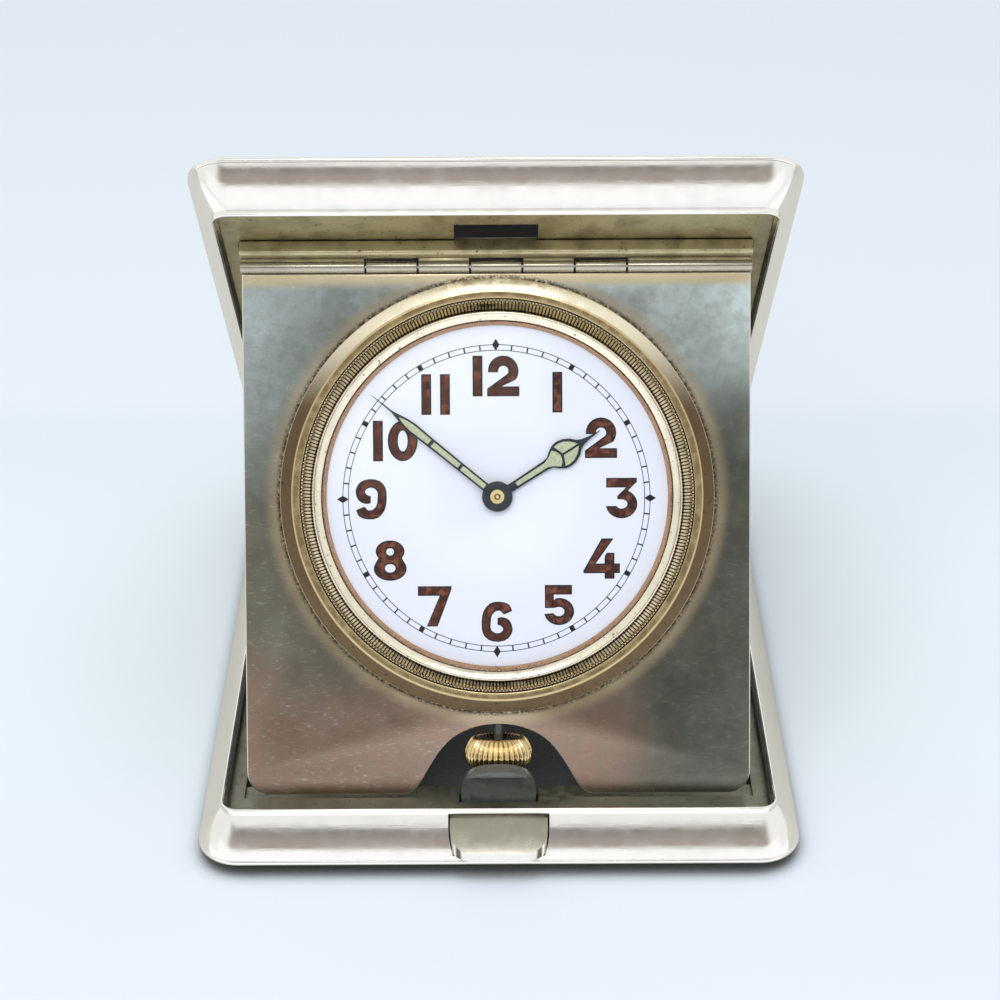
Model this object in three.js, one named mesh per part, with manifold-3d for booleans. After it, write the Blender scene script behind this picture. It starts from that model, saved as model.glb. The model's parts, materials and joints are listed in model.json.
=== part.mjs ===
// Folding travel clock: a silver case of two hinged shells that opens into an easel.
// The lid leans forward over the base, and a plate that carries an eight-day movement
// hangs from it with its foot on a rail in the base. Millimetres, +Z up, the front at -Y,
// the origin at the middle of the base's underside, which swells below the edge of the case.
import * as THREE from "three";
import * as BufferGeometryUtils from "three/addons/utils/BufferGeometryUtils.js";
import Module from "manifold-3d";

const wasm = await Module();
wasm.setup();

// Case
const caseWidth = 74;
const caseDepth = 84.8;
const shellHeight = 6.3;
const cornerRadius = 5.2;
const leastCornerRadius = 0.7;
const mouthInset = 3.4;
const lipWidth = 0.4;
const neckHeight = 0.8;
const lipDepth = 0.5;
const wall = 0.85;
const floorThickness = 1.0;
const edgeHeight = 0.7;
const edgeChamfer = 0.3;
const edgeLift = 0.2;
const edgeGroove = 0.18;
const grooveHeight = 0.15;
const rimLipAngle = 40;
const rimLipPull = 1.8;
const rimBaseLean = 12;
const rimBasePull = 1.2;
const swellHeight = 1.5;
const swellReach = 11;
const swellShares = [1, 0.72, 0.45, 0.22];
const rimSteps = 5;
const cornerSteps = 4;
const liningThickness = 0.45;
const liningInset = 0.4;

// Fits and cuts
const running = 0.1;
const seat = 0.1;
const clear = 0.3;
const overrun = 1;

// Case hinge
const caseHingeBack = 0.7;
const caseBarrelRadius = 1.3;
const caseHingePinRadius = 0.5;
const caseHingeLength = 46;
const caseKnuckles = 5;
const knuckleGap = 0.3;
const leafHeight = 1.5;
const leafDrop = 1.7;
const leafBack = 0.4;
const leafReach = 1.6;
const webDrop = 0.4;

// Liners inside both shells
const linerThickness = 0.6;
const sideLinerWidth = 2.1;
const railTop = 4.0;
const railDepth = 8.2;
const ledgeDrop = 0.56;
const ledgeThickness = 0.6;
const ledgeDepth = 2.9;
const lidLinerDrop = 1.0;

// Latch
const buttonWidth = 11.9;
const buttonFront = 1.2;
const buttonFrontLow = 1.6;
const buttonFrontHigh = 2.85;
const buttonBackDrop = 0.9;
const buttonBackLow = 2.2;
const buttonDepth = 3.8;
const buttonCornerRadius = 3.2;
const buttonTravel = 0.7;
const windowWidth = 12.4;
const windowLow = 1.35;
const windowDrop = 0.65;
const shankWidth = 7;
const shankLow = 2.25;
const shankHigh = 2.85;
const tangThickness = 0.5;
const catchWidth = 9.2;
const catchFront = 7.55;
const catchThickness = 0.9;
const catchTop = 9.0;
const catchNose = 0.75;
const catchNoseHeight = 0.9;
const catchShoulder = 5.4;
const catchSidePull = 2.7;
const catchTopPull = 2.85;
const catchFootHeight = 1.7;
const catchTang = 3.2;
const rivetRadius = 0.6;
const rivetSpread = 3.4;
const rivetHeadRadius = 1.0;
const rivetHeadHeight = 0.3;
const notchWidth = 9.8;
const slotWidth = 10.2;
const slotLength = 4.4;
const slotGap = 0.05;
const springWidth = 5;
const springThickness = 0.25;
const springHeight = 0.9;
const notchLow = 2.6;

// Plate hinge
const plateHingeInset = 13.6;
const plateHingeDrop = 1.5;
const plateBarrelRadius = 0.62;
const plateHingePinRadius = 0.22;
const barSideRoom = 0.2;
const plateKnuckleWidth = 6.4;
const barThickness = 1.25;
const barSetback = 1.1;
const barProud = 0.88;
const barFillet = 0.5;
const barWebThickness = 0.32;
const barWebSeat = 0.3;
// Five short knuckles between two long ones
const shortKnuckles = 5;
const leafStripWidth = 1.6;
const leafStripThickness = 0.3;

// Plate
const plateSideRoom = 0.35;
const plateThickness = 0.8;
const plateTop = 0.85;
const plateFoot = 2.9;
const plateCornerRadius = 2.8;
const cutoutRoom = 1.2;
const cutoutHalfFoot = 11.9;
const cutoutFootPull = 3.7;
const cutoutTopPull = 9;
const cutoutSteps = 8;

// The foot's middle stands behind the rail's front strip and over its ledge by these
const footBack = 0.7332;
const footLift = 0.5361;

// Bezel, crystal and dial, as radii and heights over the plate's middle plane
const dialRadius = 21.8;
const rehautInset = 0.3;
const rehautWidth = 0.54;
const rehautTop = 1.35;
const glassSeatStep = 0.15;
const glassSeatWidth = 0.8;
const glassSeatHigh = 2.2;
const glassSeatLow = 1.75;
const glassLip = 0.25;
const reedWidth = 1.4;
const reedLow = 0.75;
const reedHigh = 2.1;
const crestStep = 0.2;
const crestWidth = 0.7;
const crestHeight = 1.35;
const coneWidth = 1.7;
const bezelEdgeHeight = 0.25;
const bezelRoom = 0.6;
const crystalInset = 0.05;
const crystalEdgeLow = 1.5;
const crystalEdgeHigh = 1.85;
const crystalCrown = 2.8;
const crystalThickness = 0.55;
const crystalSteps = 4;
const dialTop = 0.5;
const dialThickness = 0.35;
const dialBore = 1.3;

// Movement case
const drumStep = 2.3;
const drumWall = 0.7;
const drumDepth = 5.9;
const drumFlangeWidth = 1.1;
const drumFlangeThickness = 0.5;
const coverThickness = 0.5;
const coverLip = 0.8;
const plateHoleStep = 0.4;

// Movement plates, measured back from the dial
const mainPlateTop = -0.6;
const mainPlateThickness = 1.2;
const mainPlateGap = 0.2;
const pocketDepth = 0.65;
const pocketRadius = 5.6;
const bridgeTop = -4.4;
const bridgeThickness = 0.65;
const bridgeInset = 1.6;
const bridgeGap = 0.4;
const bridgeEdge = -1.4;
const cockEdge = -4.4;
const grooveFloor = 0.15;
const collarInner = 2.6;
const collarOuter = 3.3;
const collarHeight = 0.55;
const ratchetArborRadius = 1.0;
const wheelScrewRadius = 0.7;
const wheelScrewHead = 1.4;
const stemSlotWidth = 1.8;
const pinionSlotWidth = 4.8;
const windingWheelTop = -5.15;
const windingWheelThickness = 0.28;
const pillarRadius = 1.5;
const screwRadius = 0.45;
const screwHeadRadius = 1.0;
const screwHeadHeight = 0.35;
const screwSlotWidth = 0.3;
const screwSlotDepth = 0.15;
const screwLength = 1.3;

// Gearing
const motionModule = 0.3;
const cannonTeeth = 10;
const minuteWheelTeeth = 30;
const minutePinionTeeth = 8;
const hourWheelTeeth = 32;
const barrelModule = 0.32;
const barrelTeeth = 48;
const centrePinionTeeth = 8;
const trainModule = 0.26;
const centreTeeth = 48;
const thirdPinionTeeth = 6;
const thirdModule = 0.22;
const thirdTeeth = 45;
const fourthPinionTeeth = 6;
const fourthModule = 0.18;
const fourthTeeth = 48;
const escapePinionTeeth = 6;
const escapeTeeth = 15;
const escapeRadius = 2.3;
const windingModule = 0.3;
const ratchetTeeth = 36;
const crownWheelTeeth = 24;
const windingPinionTeeth = 12;
const toothRiseShare = 0.85;
const toothRootShare = 1.15;
const toothFootShare = 0.5;
const meshSlack = 0.05;
const wheelThickness = 0.25;
const pinionHeight = 0.45;
const arborRadius = 0.3;

// Places of the arbors round the movement's middle, in degrees
const barrelBearing = 235;
const thirdBearing = 22;
const fourthBearing = 118;
const escapeBearing = 172;
const balanceReach = 13.0;
const balanceBearing = 150;
const minuteWheelBearing = -38;
const barrelBridgeBearings = [196, 322];
const trainBridgeBearings = [16, 96];
const cockBearing = 125;

// Levels of the wheels, measured back from the plate's middle plane
const barrelTop = -2.0;
const barrelHeight = 1.9;
const barrelToothHeight = 0.4;
const barrelBodyInset = 0.5;
const centreWheelTop = -4.0;
const thirdWheelTop = -3.4;
const fourthWheelTop = -2.3;
const escapeWheelTop = -3.1;
const balanceTop = -2.3;
const balanceRadius = 4.6;
const balanceRim = 0.6;
const balanceThickness = 0.45;
const balanceSpoke = 0.6;
const hairspringTop = -3.7;
const hairspringInner = 0.7;
const hairspringOuter = 2.9;
const hairspringTurns = 4;
const hairspringSteps = 12;
const hairspringWidth = 0.09;
const hairspringHeight = 0.14;
const palletTop = -3.1;
const palletThickness = 0.2;
const palletReachShare = 0.42;

// Hands
const hourHandTop = 1.05;
const minuteHandTop = 1.45;
const handThickness = 0.2;
const hourHandInset = 5.96;
const minuteHandInset = 1.16;
const hourHandAngle = -57.5;
const minuteHandAngle = 51;
const hubRadius = 1.75;
const pipeRadius = 0.95;
const cannonTubeRadius = 0.5;
const cannonTubeTop = 1.8;
const pipeWall = 0.3;

// Crown and stem
const tubeProud = 3.4;
const crownGap = 2.7;
const crownBack = 2.3;
const crownRadius = 4.15;
const crownLength = 3.85;
const crownNeck = 2.95;
const crownFlutes = 36;
const crownFluteDepth = 0.25;
const crownRecess = 1.2;
const crownRecessRadius = 2.6;
const stemRadius = 0.6;
const tubeRadius = 1.35;
const windingPinionLength = 1.3;
const stemPivot = 2.3;

// Shapes given as shares of the size that they follow
const escapeRootShare = 0.72;
const escapeTipShare = 0.15;
const escapeBackShare = 0.45;
const clickFootShare = 0.7;
const crownOutlineShares = [[0, 0], [0.7, 0], [0.8, 0.06], [0.92, 0.25], [1, 0.57],
  [0.94, 0.8], [0.66, 0.95], [0, 1]];
const hourHandShares = [[0.045, 0], [0.045, 0.42], [0.09, 0.5], [0.115, 0.6], [0.085, 0.7],
  [0.035, 0.78], [0.018, 0.86], [0.004, 1]];
const minuteHandShares = [[0.03, 0], [0.034, 0.3], [0.036, 0.6], [0.022, 0.76], [0.012, 0.86],
  [0.003, 1]];
const palletWidth = 0.6;
const palletGap = 0.8;
const studRadius = 0.3;
const clickLength = 3.0;
const clickWidth = 0.9;
const clickWidthParts = 3;
const clickBearing = 130;
const capRadius = 0.85;

// Round pieces are drawn with these many sides
const fineSides = 36;
const midSides = 20;
const smallSides = 12;

// Vertices closer than this are one
const mergeDistance = 1e-5;

// Finishes
const finishes = {
  silver: new THREE.MeshStandardMaterial({ color: 0xd9d7d0, roughness: 0.22, metalness: 1 }),
  tarnish: new THREE.MeshStandardMaterial({ color: 0x9a9690, roughness: 0.34, metalness: 1 }),
  gilt: new THREE.MeshStandardMaterial({ color: 0xa08c58, roughness: 0.4, metalness: 1 }),
  gold: new THREE.MeshStandardMaterial({ color: 0xc9a052, roughness: 0.28, metalness: 1 }),
  brass: new THREE.MeshStandardMaterial({ color: 0xc2a65e, roughness: 0.35, metalness: 1 }),
  steel: new THREE.MeshStandardMaterial({ color: 0xb8bbc0, roughness: 0.25, metalness: 1 }),
  blued: new THREE.MeshStandardMaterial({ color: 0x1d2230, roughness: 0.3, metalness: 0.9 }),
  black: new THREE.MeshStandardMaterial({ color: 0x23282c, roughness: 0.25, metalness: 0.6 }),
  enamel: new THREE.MeshStandardMaterial({ color: 0xf4f5f8, roughness: 0.15, metalness: 0 }),
  crystal: new THREE.MeshStandardMaterial({ color: 0xf2f8fa, roughness: 0.05, metalness: 0,
    transparent: true, opacity: 0.25 }),
  velvet: new THREE.MeshStandardMaterial({ color: 0x24262c, roughness: 0.95, metalness: 0 }),
};

// Solids
const degrees = (value) => THREE.MathUtils.degToRad(value);
const polar = (reach, angle) => [reach * Math.cos(angle), reach * Math.sin(angle)];

function solidOf(geometry) {
  const bare = geometry.clone();
  bare.deleteAttribute("normal");
  bare.deleteAttribute("uv");
  const merged = BufferGeometryUtils.mergeVertices(bare, mergeDistance);
  return new wasm.Manifold(new wasm.Mesh({
    numProp: 3,
    vertProperties: Float32Array.from(merged.attributes.position.array),
    triVerts: Uint32Array.from(merged.index.array),
  }));
}

function geometryOf(solid) {
  const mesh = solid.getMesh();
  const geometry = new THREE.BufferGeometry();
  geometry.setAttribute("position", new THREE.BufferAttribute(mesh.vertProperties, 3));
  geometry.setIndex(new THREE.BufferAttribute(mesh.triVerts, 1));
  return geometry;
}

// A block between two corners
function block(low, high) {
  const size = high.map((value, i) => value - low[i]);
  const middle = high.map((value, i) => (value + low[i]) / 2);
  return solidOf(new THREE.BoxGeometry(...size).translate(...middle));
}

// A round bar between two heights, along Z
function bar(radius, low, high, sides = midSides) {
  const geometry = new THREE.CylinderGeometry(radius, radius, high - low, sides);
  return solidOf(geometry.rotateX(Math.PI / 2).translate(0, 0, (low + high) / 2));
}

// A round bar between two places across X
function crossBar(radius, low, high, sides = midSides) {
  return bar(radius, low, high, sides).rotate([0, 90, 0]);
}

// A ring or cap turned round Z from [radius, height] points
function turned(profile, sides = fineSides) {
  const points = profile.map(([radius, height]) => new THREE.Vector2(radius, height));
  const turnsLeft = THREE.ShapeUtils.area(points) > 0;
  if (!turnsLeft) points.reverse();
  const onAxis = points[0].x === 0 && points[points.length - 1].x === 0;
  if (!onAxis) points.push(points[0].clone());
  return solidOf(new THREE.LatheGeometry(points, sides).rotateX(Math.PI / 2));
}

// A flat piece cut from an outline, between two heights
function cutOut(outline, low, high, holes = []) {
  const shape = outline instanceof THREE.Shape ? outline
    : new THREE.Shape(outline.map(([x, y]) => new THREE.Vector2(x, y)));
  holes.forEach((hole) => shape.holes.push(hole));
  const geometry = new THREE.ExtrudeGeometry(shape, { depth: high - low, bevelEnabled: false });
  return solidOf(geometry.translate(0, 0, low));
}

// A toothed wheel with one tooth centred on the given angle
function toothed(teeth, pitchModule, low, high, phase) {
  const pitch = (2 * Math.PI) / teeth;
  const radius = (teeth * pitchModule) / 2;
  const tip = radius + pitchModule * toothRiseShare;
  const root = radius - pitchModule * toothRootShare;
  const outline = [];
  for (let i = 0; i < teeth; i += 1) {
    outline.push(polar(root, phase + (i - toothFootShare) * pitch));
    outline.push(polar(tip, phase + i * pitch));
  }
  return cutOut(outline, low, high);
}

// The phase that puts a gap of the second wheel on the first wheel's tooth
const meshed = (direction, teeth) => direction + Math.PI + Math.PI / teeth;
const spread = (teethA, teethB, pitchModule) => ((teethA + teethB) * pitchModule) / 2 + meshSlack;

function piece(parent, name, solid, finish) {
  const mesh = new THREE.Mesh(geometryOf(solid), finish);
  mesh.name = name;
  parent.add(mesh);
  return mesh;
}

// Shells: rings of a rounded rectangle, each with its inset and height
const halfWidth = caseWidth / 2;
const halfDepth = caseDepth / 2;
const hingeY = halfDepth - caseHingeBack;
const front = -halfDepth;
const plateHingeReach = hingeY - front - plateHingeInset;
const halfOpening = halfWidth - mouthInset - sideLinerWidth;
const halfPlate = halfOpening - plateSideRoom;
const halfBar = halfOpening - barSideRoom;
const cornerSigns = [[1, 1], [-1, 1], [-1, -1], [1, -1]];

function rimCurve() {
  const lean = degrees(rimLipAngle);
  const baseLean = degrees(rimBaseLean);
  const lip = new THREE.Vector2(mouthInset - lipWidth, shellHeight - neckHeight);
  const base = new THREE.Vector2(edgeGroove, edgeHeight + grooveHeight);
  return new THREE.CubicBezierCurve(
    base,
    new THREE.Vector2(base.x + rimBasePull * Math.sin(baseLean),
      base.y + rimBasePull * Math.cos(baseLean)),
    new THREE.Vector2(lip.x - rimLipPull * Math.cos(lean), lip.y - rimLipPull * Math.sin(lean)),
    lip,
  );
}

function ringPoints(inset, height) {
  const radius = Math.max(cornerRadius - inset, leastCornerRadius);
  const points = [];
  cornerSigns.forEach(([sideX, sideY], corner) => {
    const start = (corner * Math.PI) / 2;
    const centreX = sideX * (halfWidth - inset - radius);
    const centreY = sideY * (halfDepth - inset - radius);
    for (let i = 0; i <= cornerSteps; i += 1) {
      const [x, y] = polar(radius, start + (i / cornerSteps) * (Math.PI / 2));
      points.push(centreX + x, centreY + y, height);
    }
  });
  return points;
}

// A closed solid lofted through rings, with a flat cap at each end
function loft(rings) {
  const count = cornerSigns.length * (cornerSteps + 1);
  const positions = rings.flatMap(([inset, height]) => ringPoints(inset, height));
  const index = [];
  for (let ring = 0; ring + 1 < rings.length; ring += 1) {
    for (let i = 0; i < count; i += 1) {
      const a = ring * count + i;
      const b = ring * count + ((i + 1) % count);
      index.push(a, b, b + count, a, b + count, a + count);
    }
  }
  const last = (rings.length - 1) * count;
  for (let i = 1; i + 1 < count; i += 1) {
    index.push(0, i + 1, i, last, last + i, last + i + 1);
  }
  const geometry = new THREE.BufferGeometry();
  geometry.setAttribute("position", new THREE.Float32BufferAttribute(positions, 3));
  geometry.setIndex(index);
  return solidOf(geometry);
}

// Rings of the swell under a flat that starts at an inset and a height
function swellRings(inset, height) {
  return swellShares.map((share) => [
    inset + swellReach * share,
    height - swellHeight * (1 - (1 - share) ** 2),
  ]);
}

// The shell's outside, grown sideways and upwards by a clearance
function outside(grown = 0) {
  const rings = [...swellRings(edgeChamfer - grown, -grown), [edgeChamfer - grown, -grown],
    [-grown, edgeLift], [-grown, edgeHeight]];
  rimCurve().getPoints(rimSteps).forEach((point) => rings.push([point.x - grown, point.y]));
  rings.push([mouthInset - lipWidth, shellHeight + grown]);
  return loft(rings);
}

// The hollow inside a shell, drawn in by a clearance
function hollow(drawnIn = 0, floor = floorThickness) {
  const neck = shellHeight - lipDepth;
  const inner = rimCurve().getPoints(rimSteps)
    .map((point) => [point.x + wall + drawnIn, point.y])
    .filter(([inset, height]) => height > floor && height < neck && inset < mouthInset + drawnIn);
  const low = [...swellRings(inner[0][0], floor), [inner[0][0], floor]];
  const throat = [[mouthInset + drawnIn, neck], [mouthInset + drawnIn, shellHeight + overrun]];
  return loft([...low, ...inner, ...throat]);
}

function shell() {
  return outside().subtract(hollow());
}

// Case hinge, about an axis along X at the middle of the V between the rims
const knuckleStep = caseHingeLength / caseKnuckles;
const knuckleSpan = (i) => [
  -caseHingeLength / 2 + i * knuckleStep + knuckleGap / 2,
  -caseHingeLength / 2 + (i + 1) * knuckleStep - knuckleGap / 2,
];

function caseLeaf(first) {
  const half = caseHingeLength / 2;
  let leaf = block([-half, hingeY - leafReach, shellHeight - leafDrop - leafHeight],
    [half, hingeY + leafBack, shellHeight - leafDrop]);
  for (let i = first; i < caseKnuckles; i += 2) {
    const [low, high] = knuckleSpan(i);
    const knuckle = crossBar(caseBarrelRadius, low, high, smallSides)
      .translate([0, hingeY, shellHeight]);
    const web = block([low, hingeY - leafReach, shellHeight - leafDrop - webDrop],
      [high, hingeY + leafBack, shellHeight - webDrop]);
    leaf = leaf.add(knuckle).add(web);
  }
  const bore = crossBar(caseHingePinRadius + running, -half - overrun, half + overrun, smallSides)
    .translate([0, hingeY, shellHeight]);
  return leaf.subtract(outside(seat)).subtract(bore);
}

function casePin() {
  const half = caseHingeLength / 2;
  return crossBar(caseHingePinRadius, -half, half, smallSides).translate([0, hingeY, shellHeight]);
}

// Base: shell, pad and the gilt rail whose ledge carries the plate's foot
const buttonInside = front + buttonDepth;
const buttonBackHigh = shellHeight - buttonBackDrop;
const windowHigh = shellHeight - windowDrop;
const rivetY = front + catchFront - catchTang / 2;

// The button seen from above, with round front corners
function buttonPlan(half, low, high, radius) {
  const plan = new THREE.Shape();
  plan.moveTo(-half, high);
  plan.lineTo(-half, low + radius);
  plan.quadraticCurveTo(-half, low, -half + radius, low);
  plan.lineTo(half - radius, low);
  plan.quadraticCurveTo(half, low, half, low + radius);
  plan.lineTo(half, high);
  return plan;
}

function lowerShell() {
  const gap = (windowWidth - buttonWidth) / 2;
  const plan = buttonPlan(windowWidth / 2, -buttonFront - gap, mouthInset + overrun,
    buttonCornerRadius + gap);
  const opening = cutOut(plan, windowLow, windowHigh).translate([0, front, 0]);
  return shell().subtract(opening);
}

function baseLining() {
  const top = floorThickness + seat + liningThickness;
  const sheet = block([-halfWidth, -halfDepth, -swellHeight], [halfWidth, halfDepth, top]);
  return sheet.intersect(hollow(liningInset, floorThickness + seat));
}

function latchRail() {
  const back = front + railDepth;
  const ledgeTop = railTop - ledgeDrop;
  const ledgeBack = back + ledgeDepth;
  const foot = floorThickness + liningThickness + 2 * seat;
  const sheet = block([-halfWidth, -halfDepth, railTop - linerThickness],
    [halfWidth, hingeY - mouthInset, railTop]);
  const well = block([-halfOpening, back, railTop - linerThickness - overrun],
    [halfOpening, halfDepth, railTop + overrun]);
  const ledge = block([-halfOpening, back - ledgeThickness, ledgeTop - ledgeThickness],
    [halfOpening, ledgeBack, ledgeTop]);
  const riser = block([-halfOpening, back - ledgeThickness, ledgeTop - ledgeThickness],
    [halfOpening, back, railTop]);
  const leg = block([-halfOpening, ledgeBack - ledgeThickness, foot],
    [halfOpening, ledgeBack, ledgeTop]);
  const notch = block([-notchWidth / 2, front + catchFront - clear, notchLow],
    [notchWidth / 2, ledgeBack + overrun, railTop + overrun]);
  const buttonRoom = block([-windowWidth / 2, front, 0],
    [windowWidth / 2, buttonInside + buttonTravel + clear, railTop + overrun]);
  return sheet.subtract(well).intersect(hollow(seat)).add(riser).add(ledge).add(leg)
    .subtract(notch).subtract(buttonRoom);
}

// Latch: button, the catch riveted to its shank, and the spring behind it
function pushButton() {
  const half = buttonWidth / 2;
  const side = [
    [-buttonFront, buttonFrontLow], [buttonDepth, buttonBackLow],
    [buttonDepth, buttonBackHigh], [-buttonFront, buttonFrontHigh],
  ];
  const wedge = cutOut(side, -half, half).rotate([90, 0, 90]).translate([0, front, 0]);
  const plan = buttonPlan(half, -buttonFront, buttonDepth, buttonCornerRadius);
  const head = wedge.intersect(cutOut(plan, 0, shellHeight).translate([0, front, 0]));
  const shankBack = front + catchFront - seat;
  const shank = block([-shankWidth / 2, buttonInside - overrun, shankLow],
    [shankWidth / 2, shankBack, shankHigh]);
  const rivets = [-1, 1].map((hand) => bar(rivetRadius + running, shankLow - overrun,
    shankHigh + overrun, smallSides).translate([(hand * rivetSpread) / 2, rivetY, 0]));
  return rivets.reduce((solid, hole) => solid.subtract(hole), head.add(shank));
}

function latchCatch() {
  const half = catchWidth / 2;
  const faceFront = front + catchFront;
  const outline = new THREE.Shape();
  outline.moveTo(-half, catchFootHeight);
  outline.lineTo(half, catchFootHeight);
  outline.lineTo(half, catchShoulder);
  outline.bezierCurveTo(half, catchShoulder + catchSidePull, catchTopPull, catchTop, 0, catchTop);
  outline.bezierCurveTo(-catchTopPull, catchTop, -half, catchShoulder + catchSidePull,
    -half, catchShoulder);
  const blade = cutOut(outline, -catchThickness, catchNose).rotate([90, 0, 0])
    .translate([0, faceFront, 0]);
  const relief = block([-half - overrun, faceFront - catchNose - overrun, 0],
    [half + overrun, faceFront, catchTop - catchNoseHeight]);
  const tang = block([-shankWidth / 2, faceFront - catchTang, shankLow - seat - tangThickness],
    [shankWidth / 2, faceFront + catchThickness, shankLow - seat]);
  const holes = [-1, 1].map((side) => bar(rivetRadius + running, 0, shankHigh, smallSides)
    .translate([(side * rivetSpread) / 2, rivetY, 0]));
  return holes.reduce((solid, hole) => solid.subtract(hole), blade.subtract(relief).add(tang));
}

function catchRivet(side) {
  const low = shankLow - seat - tangThickness;
  const shaft = bar(rivetRadius, low, shankHigh + seat + rivetHeadHeight, smallSides);
  const head = bar(rivetHeadRadius, shankHigh + seat, shankHigh + seat + rivetHeadHeight,
    smallSides);
  return shaft.add(head).translate([(side * rivetSpread) / 2, rivetY, 0]);
}

// A leaf spring, drawn as it lies when the button is pressed home
function buttonSpring() {
  const low = floorThickness + liningThickness + 2 * seat;
  const back = front + railDepth + ledgeDepth - ledgeThickness - seat;
  const tipFront = front + catchFront + catchThickness + buttonTravel + seat;
  const half = springWidth / 2;
  const foot = block([-half, back - springThickness, low], [half, back, low + springHeight]);
  const sole = block([-half, tipFront, low], [half, back, low + springThickness]);
  const tip = block([-half, tipFront, low], [half, tipFront + springThickness, low + springHeight]);
  return foot.add(sole).add(tip);
}

// Lid: the same shell turned over, its liner with the catch slot, and the plate's hinge bar
function lidLiner() {
  const back = hingeY - plateHingeReach - barSetback;
  const top = shellHeight - lidLinerDrop;
  const sheet = block([-halfWidth, -halfDepth, top - linerThickness],
    [halfWidth, hingeY - mouthInset, top]);
  const well = block([-halfOpening, back, top - linerThickness - overrun],
    [halfOpening, halfDepth, top + overrun]);
  const slotFront = front + catchFront - slotGap;
  const slot = block([-slotWidth / 2, slotFront, 0],
    [slotWidth / 2, slotFront + slotLength, shellHeight + overrun]);
  return sheet.subtract(well).intersect(hollow(seat)).subtract(slot);
}

function barrelSpans() {
  const edges = [-halfBar];
  for (let i = 0; i <= shortKnuckles; i += 1) {
    edges.push((i - shortKnuckles / 2) * plateKnuckleWidth);
  }
  edges.push(halfBar);
  return edges.slice(1).map((edge, i) => [edges[i] + knuckleGap / 2, edge - knuckleGap / 2]);
}

// The bar stands on the liner in front of the barrel; its knuckles are the odd ones
function plateHingeBar() {
  const rear = -barSetback;
  const foremost = rear - barThickness;
  const linerFace = plateHingeDrop + lidLinerDrop;
  const outline = new THREE.Shape();
  const low = plateHingeDrop - barProud;
  outline.moveTo(rear, linerFace - seat);
  outline.lineTo(foremost, linerFace - seat);
  outline.lineTo(foremost, low + barFillet);
  outline.quadraticCurveTo(foremost, low, foremost + barFillet, low);
  outline.lineTo(rear, low);
  let solid = cutOut(outline, -halfBar, halfBar).rotate([90, 0, 90]);
  barrelSpans().forEach(([from, to], i) => {
    if (i % 2 === 1) return;
    const knuckle = crossBar(plateBarrelRadius, from, to, smallSides);
    const web = block([from, rear - seat, plateBarrelRadius - barWebThickness],
      [to, 0, low + barWebSeat]);
    solid = solid.add(knuckle).add(web);
  });
  const bore = crossBar(plateHingePinRadius + running, -halfBar - overrun, halfBar + overrun,
    smallSides);
  return solid.subtract(bore);
}

// The plate's own knuckles are the even ones, on a strip soldered to the plate's back
function plateHingeLeaf() {
  const spans = barrelSpans().filter((span, i) => i % 2 === 1);
  const low = plateThickness / 2 + seat;
  const start = spans[0][0];
  const end = spans[spans.length - 1][1];
  let solid = block([start, plateTop + seat, low],
    [end, plateTop + leafStripWidth, low + leafStripThickness]);
  spans.forEach(([from, to]) => {
    const knuckle = crossBar(plateBarrelRadius, from, to, smallSides);
    const web = block([from, 0, low - leafStripThickness],
      [to, plateTop - seat, low + leafStripThickness]);
    const tie = block([from, 0, low], [to, plateTop + leafStripWidth, low + leafStripThickness]);
    solid = solid.add(knuckle).add(web).add(tie);
  });
  const bore = crossBar(plateHingePinRadius + running, -halfBar, halfBar, smallSides);
  return solid.subtract(bore);
}

const platePin = () => crossBar(plateHingePinRadius, -halfBar, halfBar, smallSides);

// Radii from the dial outwards, through the glass and the bezel, and those behind the plate
const rehautOuter = dialRadius - rehautInset;
const rehautInner = rehautOuter - rehautWidth;
const glassSeatInner = rehautOuter + glassSeatStep;
const glassSeatOuter = glassSeatInner + glassSeatWidth;
const reedInner = glassSeatOuter + glassLip;
const reedOuter = reedInner + reedWidth;
const crestInner = reedOuter + crestStep;
const crestOuter = crestInner + crestWidth;
const bezelRadius = crestOuter + coneWidth;
const plateHole = dialRadius + plateHoleStep;
const drumRadius = dialRadius + drumStep;

// Places down the plate: the dial's middle, the crown and the foot
const dialDown = plateTop + bezelRoom + bezelRadius;
const crownStart = drumRadius + tubeProud + crownGap;
const cutoutTop = dialDown + crownStart - cutoutRoom;
const plateBottom = dialDown + crownStart + crownLength + plateFoot;

// Plate: a rectangle with round lower corners, a round hole and the crown's bell-shaped cut-out
function dialPlate() {
  const outline = new THREE.Shape();
  outline.moveTo(-halfPlate, plateTop);
  outline.lineTo(halfPlate, plateTop);
  outline.lineTo(halfPlate, plateBottom - plateCornerRadius);
  outline.absarc(halfPlate - plateCornerRadius, plateBottom - plateCornerRadius, plateCornerRadius,
    0, Math.PI / 2, false);
  outline.lineTo(cutoutHalfFoot, plateBottom);
  outline.bezierCurveTo(cutoutHalfFoot - cutoutFootPull, plateBottom, cutoutTopPull, cutoutTop,
    0, cutoutTop);
  outline.bezierCurveTo(-cutoutTopPull, cutoutTop, cutoutFootPull - cutoutHalfFoot, plateBottom,
    -cutoutHalfFoot, plateBottom);
  outline.lineTo(-halfPlate + plateCornerRadius, plateBottom);
  outline.absarc(-halfPlate + plateCornerRadius, plateBottom - plateCornerRadius, plateCornerRadius,
    Math.PI / 2, Math.PI, false);
  const depth = plateThickness / 2;
  const points = outline.getPoints(cutoutSteps).map((point) => [point.x, point.y]);
  const hole = bar(plateHole, -plateThickness, plateThickness, fineSides)
    .translate([0, dialDown, 0]);
  return cutOut(points, -depth, depth).subtract(hole);
}

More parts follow.
